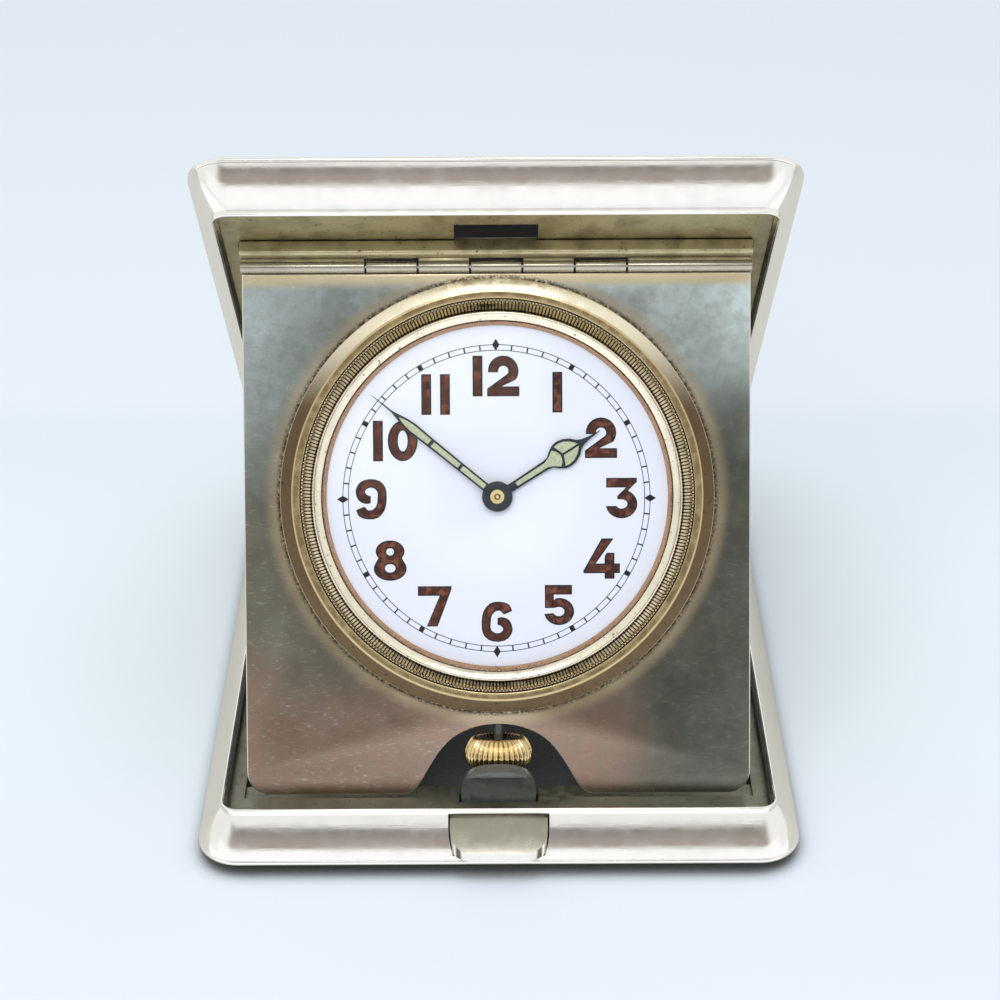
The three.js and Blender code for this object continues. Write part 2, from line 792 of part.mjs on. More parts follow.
// Bezel: a fixed conical ring on the plate, and the reeded ring that holds the glass
function bezelSeat() {
  const low = plateThickness / 2 + seat;
  const inner = reedInner + crestStep;
  return turned([
    [inner, low], [bezelRadius, low], [bezelRadius, low + bezelEdgeHeight],
    [crestOuter, crestHeight], [crestInner, crestHeight],
    [reedOuter + seat, reedLow - seat], [inner, reedLow - seat],
  ]);
}

function reededBezel() {
  const inner = rehautOuter + seat;
  return turned([
    [inner, reedLow], [reedOuter, reedLow], [reedOuter, reedLow + bezelEdgeHeight],
    [(reedOuter + reedInner) / 2, reedHigh - bezelEdgeHeight], [reedInner, reedHigh],
    [glassSeatOuter, glassSeatHigh], [glassSeatInner, glassSeatLow], [inner, glassSeatLow],
  ]);
}

function rehautRing() {
  const low = dialTop + seat;
  return turned([[rehautInner, low], [rehautOuter, low], [rehautOuter, rehautTop],
    [rehautInner + seat, rehautTop]]);
}

function crystalGlass() {
  const outer = [];
  const inner = [];
  for (let i = 0; i <= crystalSteps; i += 1) {
    const share = i / crystalSteps;
    const rise = 1 - share * share;
    const radius = share * (rehautOuter - crystalInset);
    outer.push([radius, crystalEdgeHigh + (crystalCrown - crystalEdgeHigh) * rise]);
    const crown = crystalCrown - crystalThickness - crystalEdgeLow;
    inner.push([radius, crystalEdgeLow + crown * rise]);
  }
  return turned([...inner, ...outer.reverse()]);
}

function dialDisc() {
  const low = dialTop - dialThickness;
  return turned([[dialBore, low], [dialRadius, low], [dialRadius, dialTop], [dialBore, dialTop]]);
}

// Movement case behind the plate
const mainPlateRim = drumRadius - drumWall - mainPlateGap;
const bridgeRadius = mainPlateRim - bridgeInset;
const pillarReach = bridgeRadius - pillarRadius;
function movementCase() {
  const top = -plateThickness / 2 - seat;
  const inner = drumRadius - drumWall;
  const drum = turned([
    [inner, top - drumDepth + coverThickness], [drumRadius, top - drumDepth + coverThickness],
    [drumRadius, top - drumFlangeThickness], [drumRadius + drumFlangeWidth,
      top - drumFlangeThickness], [drumRadius + drumFlangeWidth, top], [inner, top],
  ]);
  const hole = bar(tubeRadius + running, 0, drumRadius + drumFlangeWidth + overrun, midSides)
    .rotate([90, 0, 0]).translate([0, 0, -crownBack]);
  return drum.subtract(hole);
}

function backCover() {
  const top = -plateThickness / 2 - seat - drumDepth + coverThickness - seat;
  const lipOuter = drumRadius - drumWall - seat;
  const lipInner = lipOuter - linerThickness;
  return turned([
    [0, top - coverThickness], [drumRadius, top - coverThickness], [drumRadius, top],
    [lipOuter, top], [lipOuter, top + coverLip], [lipInner, top + coverLip], [lipInner, top],
    [0, top],
  ]);
}

function pendantTube() {
  const inner = stemRadius + running;
  const start = mainPlateRim + seat;
  return turned([
    [inner, start], [tubeRadius, start],
    [tubeRadius, drumRadius + tubeProud], [inner, drumRadius + tubeProud],
  ], midSides).rotate([90, 0, 0]).translate([0, 0, -crownBack]);
}

// Arbor places in the movement
const motionReach = spread(cannonTeeth, minuteWheelTeeth, motionModule);
const minuteWheelAngle = degrees(minuteWheelBearing);
const minuteWheelPlace = polar(motionReach, minuteWheelAngle);
const barrelAngle = degrees(barrelBearing);
const barrelPlace = polar(spread(barrelTeeth, centrePinionTeeth, barrelModule), barrelAngle);
const thirdAngle = degrees(thirdBearing);
const thirdPlace = polar(spread(centreTeeth, thirdPinionTeeth, trainModule), thirdAngle);
const fourthAngle = degrees(fourthBearing);
const fourthReach = polar(spread(thirdTeeth, fourthPinionTeeth, thirdModule), fourthAngle);
const fourthPlace = thirdPlace.map((value, i) => value + fourthReach[i]);
const escapeAngle = degrees(escapeBearing);
const escapeStep = polar(spread(fourthTeeth, escapePinionTeeth, fourthModule), escapeAngle);
const escapePlace = fourthPlace.map((value, i) => value + escapeStep[i]);
const balancePlace = polar(balanceReach, degrees(balanceBearing));
const windingReach = spread(ratchetTeeth, crownWheelTeeth, windingModule);
const crownWheelPlace = [0, barrelPlace[1] - Math.sqrt(windingReach ** 2 - barrelPlace[0] ** 2)];
const pinionReach = (collarInner + collarOuter - windingPinionLength) / 2 - crownWheelPlace[1];
const stemInner = pinionReach - stemPivot;
const windingAngle = Math.atan2(crownWheelPlace[1] - barrelPlace[1], -barrelPlace[0]);
const palletAngle = Math.atan2(balancePlace[1] - escapePlace[1], balancePlace[0] - escapePlace[0]);
const palletSpan = Math.hypot(balancePlace[0] - escapePlace[0], balancePlace[1] - escapePlace[1]);
const palletStep = polar(palletSpan * palletReachShare, palletAngle);
const palletPlace = escapePlace.map((value, i) => value + palletStep[i]);

const trainFloor = mainPlateTop - mainPlateThickness;
const bridgeBottom = bridgeTop - bridgeThickness;
const arborTop = trainFloor - seat;
const arborBottom = bridgeTop + seat;

// Moves a solid to a place in the movement
const moved = (solid, place) => solid.translate([place[0], place[1], 0]);

// A wheel, its pinion and its arbor in one
function wheelAndPinion(wheel, pinion) {
  const arbor = bar(arborRadius, arborBottom, arborTop, smallSides);
  return wheel.add(pinion).add(arbor);
}

function mainPlate() {
  const bottom = trainFloor;
  const floor = mainPlateTop - pocketDepth;
  const plate = turned([[0, bottom], [mainPlateRim, bottom], [mainPlateRim, mainPlateTop],
    [0, mainPlateTop]]);
  const wheelRoom = (minuteWheelTeeth / 2 + 1) * motionModule + clear;
  const pocket = bar(pocketRadius, floor, mainPlateTop + overrun);
  const pocketBeside = moved(bar(wheelRoom, floor, mainPlateTop + overrun), minuteWheelPlace);
  const stemSlot = block([-stemSlotWidth / 2, -mainPlateRim - overrun, bottom - overrun],
    [stemSlotWidth / 2, -stemInner + clear, mainPlateTop + overrun]);
  const pinionSlot = block(
    [-pinionSlotWidth / 2, -pinionReach - windingPinionLength - clear, bottom - overrun],
    [pinionSlotWidth / 2, -pinionReach + clear, mainPlateTop + overrun],
  );
  return plate.subtract(pocket).subtract(pocketBeside).subtract(stemSlot).subtract(pinionSlot);
}

function barrel() {
  const low = barrelTop - barrelHeight;
  const teeth = toothed(barrelTeeth, barrelModule, barrelTop - barrelToothHeight, barrelTop,
    meshed(barrelAngle, 1) + Math.PI);
  const radius = (barrelTeeth * barrelModule) / 2 - barrelBodyInset;
  return moved(teeth.add(bar(radius, low, barrelTop, fineSides)), barrelPlace);
}

function centreWheel() {
  const wheel = toothed(centreTeeth, trainModule, centreWheelTop - wheelThickness,
    centreWheelTop, thirdAngle);
  const pinion = toothed(centrePinionTeeth, barrelModule, barrelTop - pinionHeight, barrelTop,
    barrelAngle + Math.PI / centrePinionTeeth);
  return wheelAndPinion(wheel, pinion);
}

function thirdWheel() {
  const wheel = toothed(thirdTeeth, thirdModule, thirdWheelTop - wheelThickness, thirdWheelTop,
    fourthAngle);
  const pinion = toothed(thirdPinionTeeth, trainModule, centreWheelTop - wheelThickness,
    centreWheelTop, meshed(thirdAngle, thirdPinionTeeth));
  return moved(wheelAndPinion(wheel, pinion), thirdPlace);
}

function fourthWheel() {
  const wheel = toothed(fourthTeeth, fourthModule, fourthWheelTop - wheelThickness,
    fourthWheelTop, escapeAngle);
  const pinion = toothed(fourthPinionTeeth, thirdModule, thirdWheelTop - wheelThickness,
    thirdWheelTop, meshed(fourthAngle, fourthPinionTeeth));
  return moved(wheelAndPinion(wheel, pinion), fourthPlace);
}

// The escape wheel has pointed, leaning teeth
function escapeWheel() {
  const pitch = (2 * Math.PI) / escapeTeeth;
  const root = escapeRadius * escapeRootShare;
  const outline = [];
  for (let i = 0; i < escapeTeeth; i += 1) {
    outline.push(polar(root, i * pitch));
    outline.push(polar(escapeRadius, (i + escapeTipShare) * pitch));
    outline.push(polar(root, (i + escapeBackShare) * pitch));
  }
  const wheel = cutOut(outline, escapeWheelTop - wheelThickness, escapeWheelTop);
  const pinion = toothed(escapePinionTeeth, fourthModule, fourthWheelTop - wheelThickness,
    fourthWheelTop, meshed(escapeAngle, escapePinionTeeth));
  return moved(wheelAndPinion(wheel, pinion), escapePlace);
}

// The fork spans the escape wheel with two arms and reaches towards the balance staff
function palletFork() {
  const span = palletSpan * palletReachShare;
  const armOut = escapeRadius + palletGap;
  const half = palletWidth / 2;
  const forkReach = palletSpan - span - arborRadius - clear;
  const outline = [
    [-span + arborRadius, armOut], [-span + arborRadius, armOut + palletWidth], [half, palletWidth],
    [forkReach, half], [forkReach, -half], [half, -palletWidth],
    [-span + arborRadius, -armOut - palletWidth], [-span + arborRadius, -armOut], [-half, 0],
  ];
  const fork = cutOut(outline, palletTop - palletThickness, palletTop)
    .rotate([0, 0, THREE.MathUtils.radToDeg(palletAngle)]);
  return moved(fork.add(bar(arborRadius, arborBottom, arborTop, smallSides)), palletPlace);
}

function balanceWheel() {
  const low = balanceTop - balanceThickness;
  const rim = turned([[balanceRadius - balanceRim, low], [balanceRadius, low],
    [balanceRadius, balanceTop], [balanceRadius - balanceRim, balanceTop]], midSides);
  const reach = balanceRadius - balanceRim / 2;
  const spoke = block([-reach, -balanceSpoke / 2, low], [reach, balanceSpoke / 2, balanceTop]);
  const staff = bar(arborRadius, arborBottom, arborTop, smallSides);
  return moved(rim.add(spoke).add(staff), balancePlace);
}

// A flat spiral of a thin strip, from the staff out to its stud
function hairspring() {
  const count = hairspringTurns * hairspringSteps;
  const edge = (offset) => Array.from({ length: count + 1 }, (unused, i) => {
    const reach = hairspringInner + ((hairspringOuter - hairspringInner) * i) / count;
    return polar(reach + offset, (i / hairspringSteps) * 2 * Math.PI);
  });
  const outline = [...edge(hairspringWidth / 2), ...edge(-hairspringWidth / 2).reverse()];
  const low = hairspringTop - hairspringHeight;
  const strip = cutOut(outline, low, hairspringTop);
  const stud = bar(studRadius, arborBottom, hairspringTop, smallSides)
    .translate([hairspringOuter, 0, 0]);
  return moved(strip.add(stud), balancePlace);
}

// Bridges: parts of one disc over the train, each on its pillars
function bridgeDisc(region) {
  const disc = bar(bridgeRadius, bridgeBottom, bridgeTop, fineSides);
  return disc.intersect(cutOut(region, bridgeBottom - overrun, bridgeTop + overrun));
}

const pillar = (bearing) => moved(bar(pillarRadius, bridgeTop - bridgeThickness / 2, arborTop,
  smallSides), polar(pillarReach, degrees(bearing)));

function withScrewHole(bridge, bearing) {
  const hole = bar(screwRadius + running, bridgeBottom - overrun,
    bridgeBottom + screwLength + clear, smallSides);
  return bridge.subtract(moved(hole, polar(pillarReach, degrees(bearing))));
}

const bridgeOn = (region, bearings) => bearings.reduce(
  (bridge, bearing) => withScrewHole(bridge.add(pillar(bearing)), bearing),
  bridgeDisc(region),
);

function barrelBridge() {
  const far = caseWidth;
  const region = [[-far, bridgeEdge], [-far, -far], [far, -far], [far, bridgeEdge]];
  const arborHole = moved(bar(ratchetArborRadius + running, bridgeBottom - overrun,
    bridgeTop + overrun, smallSides), barrelPlace);
  const groove = moved(turned([
    [collarInner - clear, bridgeBottom - overrun], [collarOuter + clear, bridgeBottom - overrun],
    [collarOuter + clear, bridgeTop - grooveFloor], [collarInner - clear, bridgeTop - grooveFloor],
  ], midSides), crownWheelPlace);
  const pinionRoom = block(
    [-pinionSlotWidth / 2, -pinionReach - windingPinionLength - clear, bridgeBottom - overrun],
    [pinionSlotWidth / 2, -pinionReach + clear, bridgeTop + overrun],
  );
  return bridgeOn(region, barrelBridgeBearings).subtract(arborHole).subtract(groove)
    .subtract(pinionRoom);
}

function trainBridge() {
  const far = caseWidth;
  const low = bridgeEdge + bridgeGap;
  const region = [[cockEdge + bridgeGap, low], [far, low], [far, far], [cockEdge + bridgeGap, far]];
  return bridgeOn(region, trainBridgeBearings);
}

function balanceCock() {
  const far = caseWidth;
  const region = [[-far, bridgeEdge + bridgeGap], [cockEdge, bridgeEdge + bridgeGap],
    [cockEdge, far], [-far, far]];
  return bridgeOn(region, [cockBearing]);
}

function slottedScrew(radius, head, headHeight, length) {
  const shaft = bar(radius, 0, length, smallSides);
  const top = bar(head, -seat - headHeight, -seat, smallSides);
  const neck = bar(radius, -seat - headHeight / 2, 0, smallSides);
  const slot = block([-head - overrun, -screwSlotWidth / 2, -seat - headHeight - overrun],
    [head + overrun, screwSlotWidth / 2, -seat - headHeight + screwSlotDepth]);
  return shaft.add(neck).add(top).subtract(slot).translate([0, 0, bridgeBottom]);
}

const bridgeScrew = (bearing) => moved(
  slottedScrew(screwRadius, screwHeadRadius, screwHeadHeight, screwLength),
  polar(pillarReach, degrees(bearing)),
);

// Winding: ratchet on the barrel's arbor, crown wheel with a collar of teeth over the pinion
function ratchetWheel() {
  const low = windingWheelTop - windingWheelThickness;
  const wheel = toothed(ratchetTeeth, windingModule, low, windingWheelTop, windingAngle);
  const arbor = bar(ratchetArborRadius, low, barrelTop - barrelHeight - seat, smallSides);
  return moved(wheel.add(arbor), barrelPlace);
}

function crownWheel() {
  const low = windingWheelTop - windingWheelThickness;
  const wheel = toothed(crownWheelTeeth, windingModule, low, windingWheelTop,
    meshed(windingAngle, crownWheelTeeth));
  const collar = turned([[collarInner, low], [collarOuter, low],
    [collarOuter, windingWheelTop + collarHeight], [collarInner, windingWheelTop + collarHeight]],
  midSides);
  const bore = bar(wheelScrewRadius + running, low - overrun, windingWheelTop + overrun, smallSides);
  return moved(wheel.add(collar).subtract(bore), crownWheelPlace);
}

function crownWheelScrew() {
  const low = windingWheelTop - windingWheelThickness - seat;
  const shaft = bar(wheelScrewRadius, low - screwHeadHeight, bridgeBottom - meshSlack, smallSides);
  const head = bar(wheelScrewHead, low - screwHeadHeight, low, smallSides);
  const slot = block(
    [-wheelScrewHead - overrun, -screwSlotWidth / 2, low - screwHeadHeight - overrun],
    [wheelScrewHead + overrun, screwSlotWidth / 2, low - screwHeadHeight + screwSlotDepth],
  );
  return moved(shaft.add(head).subtract(slot), crownWheelPlace);
}

// The click lies beside the ratchet, its beak just clear of the teeth
function click() {
  const low = windingWheelTop - windingWheelThickness;
  const tip = (ratchetTeeth * windingModule) / 2 + windingModule + running;
  const outline = [[tip, 0], [tip + clickLength, -clickWidth / 2], [tip + clickLength, clickWidth],
    [tip + clickLength / 2, clickWidth]];
  const shape = cutOut(outline, low, windingWheelTop);
  const foot = bar(screwRadius, low, bridgeBottom - meshSlack, smallSides)
    .translate([tip + clickLength * clickFootShare, clickWidth / clickWidthParts, 0]);
  return moved(shape.add(foot).rotate([0, 0, clickBearing]), barrelPlace);
}

// Winding stem with its pinion, and the fluted onion crown, drawn along +Z and laid to the right
const laidDown = (solid) => solid.rotate([90, 0, 0]).translate([0, 0, -crownBack]);

function windingPinion() {
  const teeth = toothed(windingPinionTeeth, windingModule, pinionReach,
    pinionReach + windingPinionLength, Math.PI / 2);
  const bore = bar(stemRadius + running, pinionReach - overrun,
    pinionReach + windingPinionLength + overrun, smallSides);
  return laidDown(teeth.subtract(bore));
}

function windingStem() {
  return laidDown(bar(stemRadius, stemInner, crownStart + crownLength - crownRecess, smallSides));
}

function crown() {
  const profile = crownOutlineShares.map(([radiusShare, lengthShare]) => [
    crownRadius * radiusShare, crownStart + crownLength * lengthShare]);
  const points = profile.map(([radius, height]) => new THREE.Vector2(radius, height));
  const geometry = new THREE.LatheGeometry(points, 2 * crownFlutes).rotateX(Math.PI / 2);
  const position = geometry.attributes.position;
  for (let i = 0; i < position.count; i += 1) {
    const x = position.getX(i);
    const y = position.getY(i);
    const radius = Math.hypot(x, y);
    const flute = Math.round((Math.atan2(y, x) * crownFlutes) / Math.PI);
    if (radius > crownNeck && flute % 2 !== 0) {
      const share = (radius - crownFluteDepth) / radius;
      position.setXY(i, x * share, y * share);
    }
  }
  const recess = bar(crownRecessRadius, crownStart - overrun, crownStart + crownRecess, midSides);
  const bore = bar(stemRadius + running, crownStart,
    crownStart + crownLength - crownRecess + running, smallSides);
  return laidDown(solidOf(geometry).subtract(recess).subtract(bore));
}

// Motion work under the dial
function cannonPinion() {
  const low = mainPlateTop - pocketDepth + seat;
  const teeth = toothed(cannonTeeth, motionModule, low, low + pinionHeight, minuteWheelAngle);
  const tube = bar(cannonTubeRadius, low, cannonTubeTop, smallSides);
  const cap = bar(capRadius, minuteHandTop + seat, cannonTubeTop, midSides);
  return teeth.add(tube).add(cap);
}

function minuteWheel() {
  const low = mainPlateTop - pocketDepth + seat;
  const wheel = toothed(minuteWheelTeeth, motionModule, low, low + wheelThickness,
    meshed(minuteWheelAngle, minuteWheelTeeth));
  const pinion = toothed(minutePinionTeeth, motionModule, low,
    dialTop - dialThickness - clear / 2, minuteWheelAngle + Math.PI);
  return moved(wheel.add(pinion), minuteWheelPlace);
}

function hourWheel() {
  const low = mainPlateTop + clear / 2;
  const wheel = toothed(hourWheelTeeth, motionModule, low, low + wheelThickness,
    minuteWheelAngle + Math.PI / hourWheelTeeth);
  const pipe = bar(pipeRadius, low, hourHandTop, midSides);
  const bore = bar(pipeRadius - pipeWall, low - overrun, hourHandTop + overrun, smallSides);
  return wheel.add(pipe).subtract(bore);
}

// Hands, drawn pointing to twelve; shares are across and along their reach
function hand(top, reach, widthShares, bore, turn) {
  const right = widthShares.map(([x, y]) => [x * reach, y * reach]);
  const left = widthShares.map(([x, y]) => [-x * reach, y * reach]).reverse();
  const blade = cutOut([...right, ...left], top - handThickness, top);
  const hub = bar(hubRadius, top - handThickness, top, midSides);
  const hole = bar(bore + running, top - handThickness - overrun, top + overrun, smallSides);
  return blade.add(hub).subtract(hole).rotate([0, 0, turn]);
}

const hourHand = () => hand(hourHandTop, rehautInner - hourHandInset, hourHandShares, pipeRadius,
  hourHandAngle);
const minuteHand = () => hand(minuteHandTop, rehautInner - minuteHandInset, minuteHandShares,
  cannonTubeRadius, minuteHandAngle);

// The easel's triangle, from the case hinge over the plate's hinge to the foot, gives both angles
const hingeReach = Math.hypot(plateHingeReach, plateHingeDrop);
const footY = front + railDepth + footBack;
const footZ = railTop - ledgeDrop + footLift;
const baseReach = Math.hypot(hingeY - footY, shellHeight - footZ);
const hingeCorner = Math.acos(
  (hingeReach ** 2 + baseReach ** 2 - plateBottom ** 2) / (2 * hingeReach * baseReach),
);
const lidLean = hingeCorner - Math.atan2(shellHeight - footZ, hingeY - footY)
  + Math.atan2(plateHingeDrop, plateHingeReach);
const plateHingeY = hingeY - plateHingeReach * Math.cos(lidLean) - plateHingeDrop * Math.sin(lidLean);
const plateHingeZ = shellHeight + plateHingeReach * Math.sin(lidLean)
  - plateHingeDrop * Math.cos(lidLean);
const plateLean = Math.atan2(plateHingeZ - footZ, footY - plateHingeY);

// Assembly
const clock = new THREE.Group();
const base = new THREE.Group();
base.position.set(0, 0, swellHeight);
clock.add(base);

const lidSide = (solid) => solid.rotate([0, 180, 0]).translate([0, -hingeY, shellHeight]);
const lid = new THREE.Group();
lid.position.set(0, hingeY, shellHeight);
lid.rotation.x = -lidLean;
base.add(lid);

const plateHinge = new THREE.Group();
plateHinge.position.set(0, -plateHingeReach, -plateHingeDrop);
lid.add(plateHinge);

const plate = new THREE.Group();
plate.rotation.x = lidLean - plateLean;
plateHinge.add(plate);

const movement = new THREE.Group();
movement.position.set(0, dialDown, 0);
movement.rotation.x = Math.PI;
plate.add(movement);

piece(base, "lower_shell", lowerShell(), finishes.silver);
piece(base, "base_lining", baseLining(), finishes.velvet);
piece(base, "latch_rail", latchRail(), finishes.gilt);
piece(base, "case_hinge_lower_leaf", caseLeaf(0), finishes.silver);
piece(base, "case_hinge_pin", casePin(), finishes.steel);
piece(base, "button_spring", buttonSpring(), finishes.steel);
piece(base, "push_button", pushButton(), finishes.silver);
piece(base, "latch_catch", latchCatch(), finishes.black);
piece(base, "catch_rivet_left", catchRivet(-1), finishes.steel);
piece(base, "catch_rivet_right", catchRivet(1), finishes.steel);

piece(lid, "upper_shell", lidSide(shell()), finishes.silver);
piece(lid, "lid_liner", lidSide(lidLiner()), finishes.gilt);
piece(lid, "case_hinge_upper_leaf", lidSide(caseLeaf(1)), finishes.silver);
piece(plateHinge, "plate_hinge_bar", plateHingeBar(), finishes.gilt);
piece(plateHinge, "plate_hinge_pin", platePin(), finishes.steel);

piece(plate, "dial_plate", dialPlate(), finishes.tarnish);
piece(plate, "plate_hinge_leaf", plateHingeLeaf(), finishes.silver);
piece(movement, "bezel_seat", bezelSeat(), finishes.gold);
piece(movement, "reeded_bezel", reededBezel(), finishes.gold);
piece(movement, "rehaut_ring", rehautRing(), finishes.gold);
piece(movement, "crystal", crystalGlass(), finishes.crystal);
piece(movement, "dial", dialDisc(), finishes.enamel);
piece(movement, "movement_case", movementCase(), finishes.gilt);
piece(movement, "back_cover", backCover(), finishes.gilt);
piece(movement, "pendant_tube", pendantTube(), finishes.gilt);
piece(movement, "main_plate", mainPlate(), finishes.brass);
piece(movement, "mainspring_barrel", barrel(), finishes.brass);
piece(movement, "centre_wheel", centreWheel(), finishes.brass);
piece(movement, "third_wheel", thirdWheel(), finishes.brass);
piece(movement, "fourth_wheel", fourthWheel(), finishes.brass);
piece(movement, "escape_wheel", escapeWheel(), finishes.steel);
piece(movement, "pallet_fork", palletFork(), finishes.steel);
piece(movement, "balance_wheel", balanceWheel(), finishes.brass);
piece(movement, "hairspring", hairspring(), finishes.blued);
piece(movement, "barrel_bridge", barrelBridge(), finishes.brass);
piece(movement, "train_bridge", trainBridge(), finishes.brass);
piece(movement, "balance_cock", balanceCock(), finishes.brass);
barrelBridgeBearings.forEach((bearing, i) => {
  piece(movement, `barrel_bridge_screw_${i + 1}`, bridgeScrew(bearing), finishes.blued);
});
trainBridgeBearings.forEach((bearing, i) => {
  piece(movement, `train_bridge_screw_${i + 1}`, bridgeScrew(bearing), finishes.blued);
});
piece(movement, "balance_cock_screw", bridgeScrew(cockBearing), finishes.blued);
piece(movement, "ratchet_wheel", ratchetWheel(), finishes.steel);
piece(movement, "crown_wheel", crownWheel(), finishes.steel);
piece(movement, "crown_wheel_screw", crownWheelScrew(), finishes.blued);
piece(movement, "click", click(), finishes.steel);
piece(movement, "winding_pinion", windingPinion(), finishes.steel);
piece(movement, "winding_stem", windingStem(), finishes.steel);
piece(movement, "crown", crown(), finishes.gold);
piece(movement, "cannon_pinion", cannonPinion(), finishes.brass);
piece(movement, "minute_wheel", minuteWheel(), finishes.brass);
piece(movement, "hour_wheel", hourWheel(), finishes.brass);
piece(movement, "hour_hand", hourHand(), finishes.blued);
piece(movement, "minute_hand", minuteHand(), finishes.blued);

export default clock;
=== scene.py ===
"""Folding travel clock: builds the looks of the silver case, the dial and the latch."""

import json
import math

import bmesh
import bpy
from bpy.props import FloatProperty, FloatVectorProperty, PointerProperty
from mathutils import Matrix, Vector
from mathutils.geometry import tessellate_polygon


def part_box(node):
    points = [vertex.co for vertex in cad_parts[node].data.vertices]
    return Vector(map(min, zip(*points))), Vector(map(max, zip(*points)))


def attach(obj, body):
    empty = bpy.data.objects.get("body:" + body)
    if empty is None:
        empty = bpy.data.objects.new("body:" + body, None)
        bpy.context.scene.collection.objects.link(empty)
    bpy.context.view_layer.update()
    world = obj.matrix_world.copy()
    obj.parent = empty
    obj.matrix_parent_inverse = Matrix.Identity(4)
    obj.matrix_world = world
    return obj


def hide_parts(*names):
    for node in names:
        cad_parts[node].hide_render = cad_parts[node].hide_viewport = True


bl_info = {
    "name": "Folding Travel Clock",
    "version": (1, 0, 0),
    "blender": (4, 5, 0),
    "location": "3D View > Sidebar > Clock",
    "description": "Builds the fine shapes and finishes of a folding travel clock",
    "category": "Add Mesh",
}

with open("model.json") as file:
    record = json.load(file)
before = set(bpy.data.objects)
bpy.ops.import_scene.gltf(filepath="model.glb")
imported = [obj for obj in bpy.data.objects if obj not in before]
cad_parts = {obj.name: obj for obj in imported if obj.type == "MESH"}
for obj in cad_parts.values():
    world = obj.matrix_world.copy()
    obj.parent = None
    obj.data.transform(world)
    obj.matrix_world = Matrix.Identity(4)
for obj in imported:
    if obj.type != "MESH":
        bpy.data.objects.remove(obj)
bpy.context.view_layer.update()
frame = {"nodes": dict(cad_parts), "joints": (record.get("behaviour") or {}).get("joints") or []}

MM = 0.001
joints = {joint["name"]: joint for joint in frame["joints"]}

# Where the clock's parts stand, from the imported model
case_low, case_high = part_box("lower_shell")
HINGE = Vector(joints["case_hinge"]["pos_m"])
PLATE_HINGE = Vector(joints["plate_hinge"]["pos_m"])
DIAL_CENTRE = Vector(joints["minute_turn"]["pos_m"])
DIAL_OUT = -Vector(joints["minute_turn"]["axis"])
DIAL_UP = -Vector(joints["crown_turn"]["axis"])
HINGE_DROP = 1.5 * MM
STEM_DEPTH = -2.3 * MM
CROWN_START = 30.15 * MM
SWELL_HEIGHT = 1.5 * MM
SHELL_HEIGHT = case_high.z - SWELL_HEIGHT


def frame_of(centre, up, out):
    """A matrix whose Y is up, whose Z is out and whose origin is the centre."""
    across = up.cross(out)
    return Matrix((
        (across.x, up.x, out.x, centre.x),
        (across.y, up.y, out.y, centre.y),
        (across.z, up.z, out.z, centre.z),
        (0, 0, 0, 1),
    ))


def lid_frame():
    """Turns the base's own shape over and leans it forward on the rear hinge."""
    arm = PLATE_HINGE - HINGE
    lean = math.atan2(arm.z, -arm.y) + math.asin(HINGE_DROP / arm.length)
    return (Matrix.Translation(HINGE) @ Matrix.Rotation(-lean, 4, "X")
            @ Matrix.Translation((0, -HINGE.y, SHELL_HEIGHT)) @ Matrix.Rotation(math.pi, 4, "Y"))


WORLD = Matrix.Identity(4)
BASE = Matrix.Translation((0, 0, SWELL_HEIGHT))
LID = lid_frame()
CLOCK = frame_of(DIAL_CENTRE, DIAL_UP.normalized(), DIAL_OUT.normalized())
STEM = Matrix.Translation((0, 0, STEM_DEPTH)) @ Matrix.Rotation(math.pi / 2, 4, "X")
CROWN_TOP = CLOCK @ Vector((0, -CROWN_START, STEM_DEPTH))
PRINT_SHIFT = (-0.1 * MM, -0.3 * MM, 0)
PRINTED = CLOCK @ Matrix.Translation(PRINT_SHIFT)


class ClockSizes(bpy.types.PropertyGroup):
    """Sizes of the clock that a user would change."""
    corner_radius: FloatProperty(
        name="Corner Radius", description="Radius of the case's corners, seen from above",
        default=5.2 * MM, unit="LENGTH")
    dial_radius: FloatProperty(
        name="Dial Radius", description="Radius of the white dial",
        default=21.8 * MM, unit="LENGTH")
    numeral_height: FloatProperty(
        name="Numeral Height", description="Height of the painted numerals",
        default=4.98 * MM, unit="LENGTH")
    numeral_edge: FloatProperty(
        name="Numeral Edge", description="Width of the dark line round each numeral",
        default=0.16 * MM, unit="LENGTH")
    track_radius: FloatProperty(
        name="Track Radius", description="Radius of the outer circle of the minute track",
        default=18.88 * MM, unit="LENGTH")
    track_width: FloatProperty(
        name="Track Width", description="Distance between the circles of the minute track",
        default=0.67 * MM, unit="LENGTH")
    minute_hand: FloatProperty(
        name="Minute Hand", description="Reach of the minute hand",
        default=19.8 * MM, unit="LENGTH")
    hour_hand: FloatProperty(
        name="Hour Hand", description="Reach of the hour hand",
        default=15.0 * MM, unit="LENGTH")


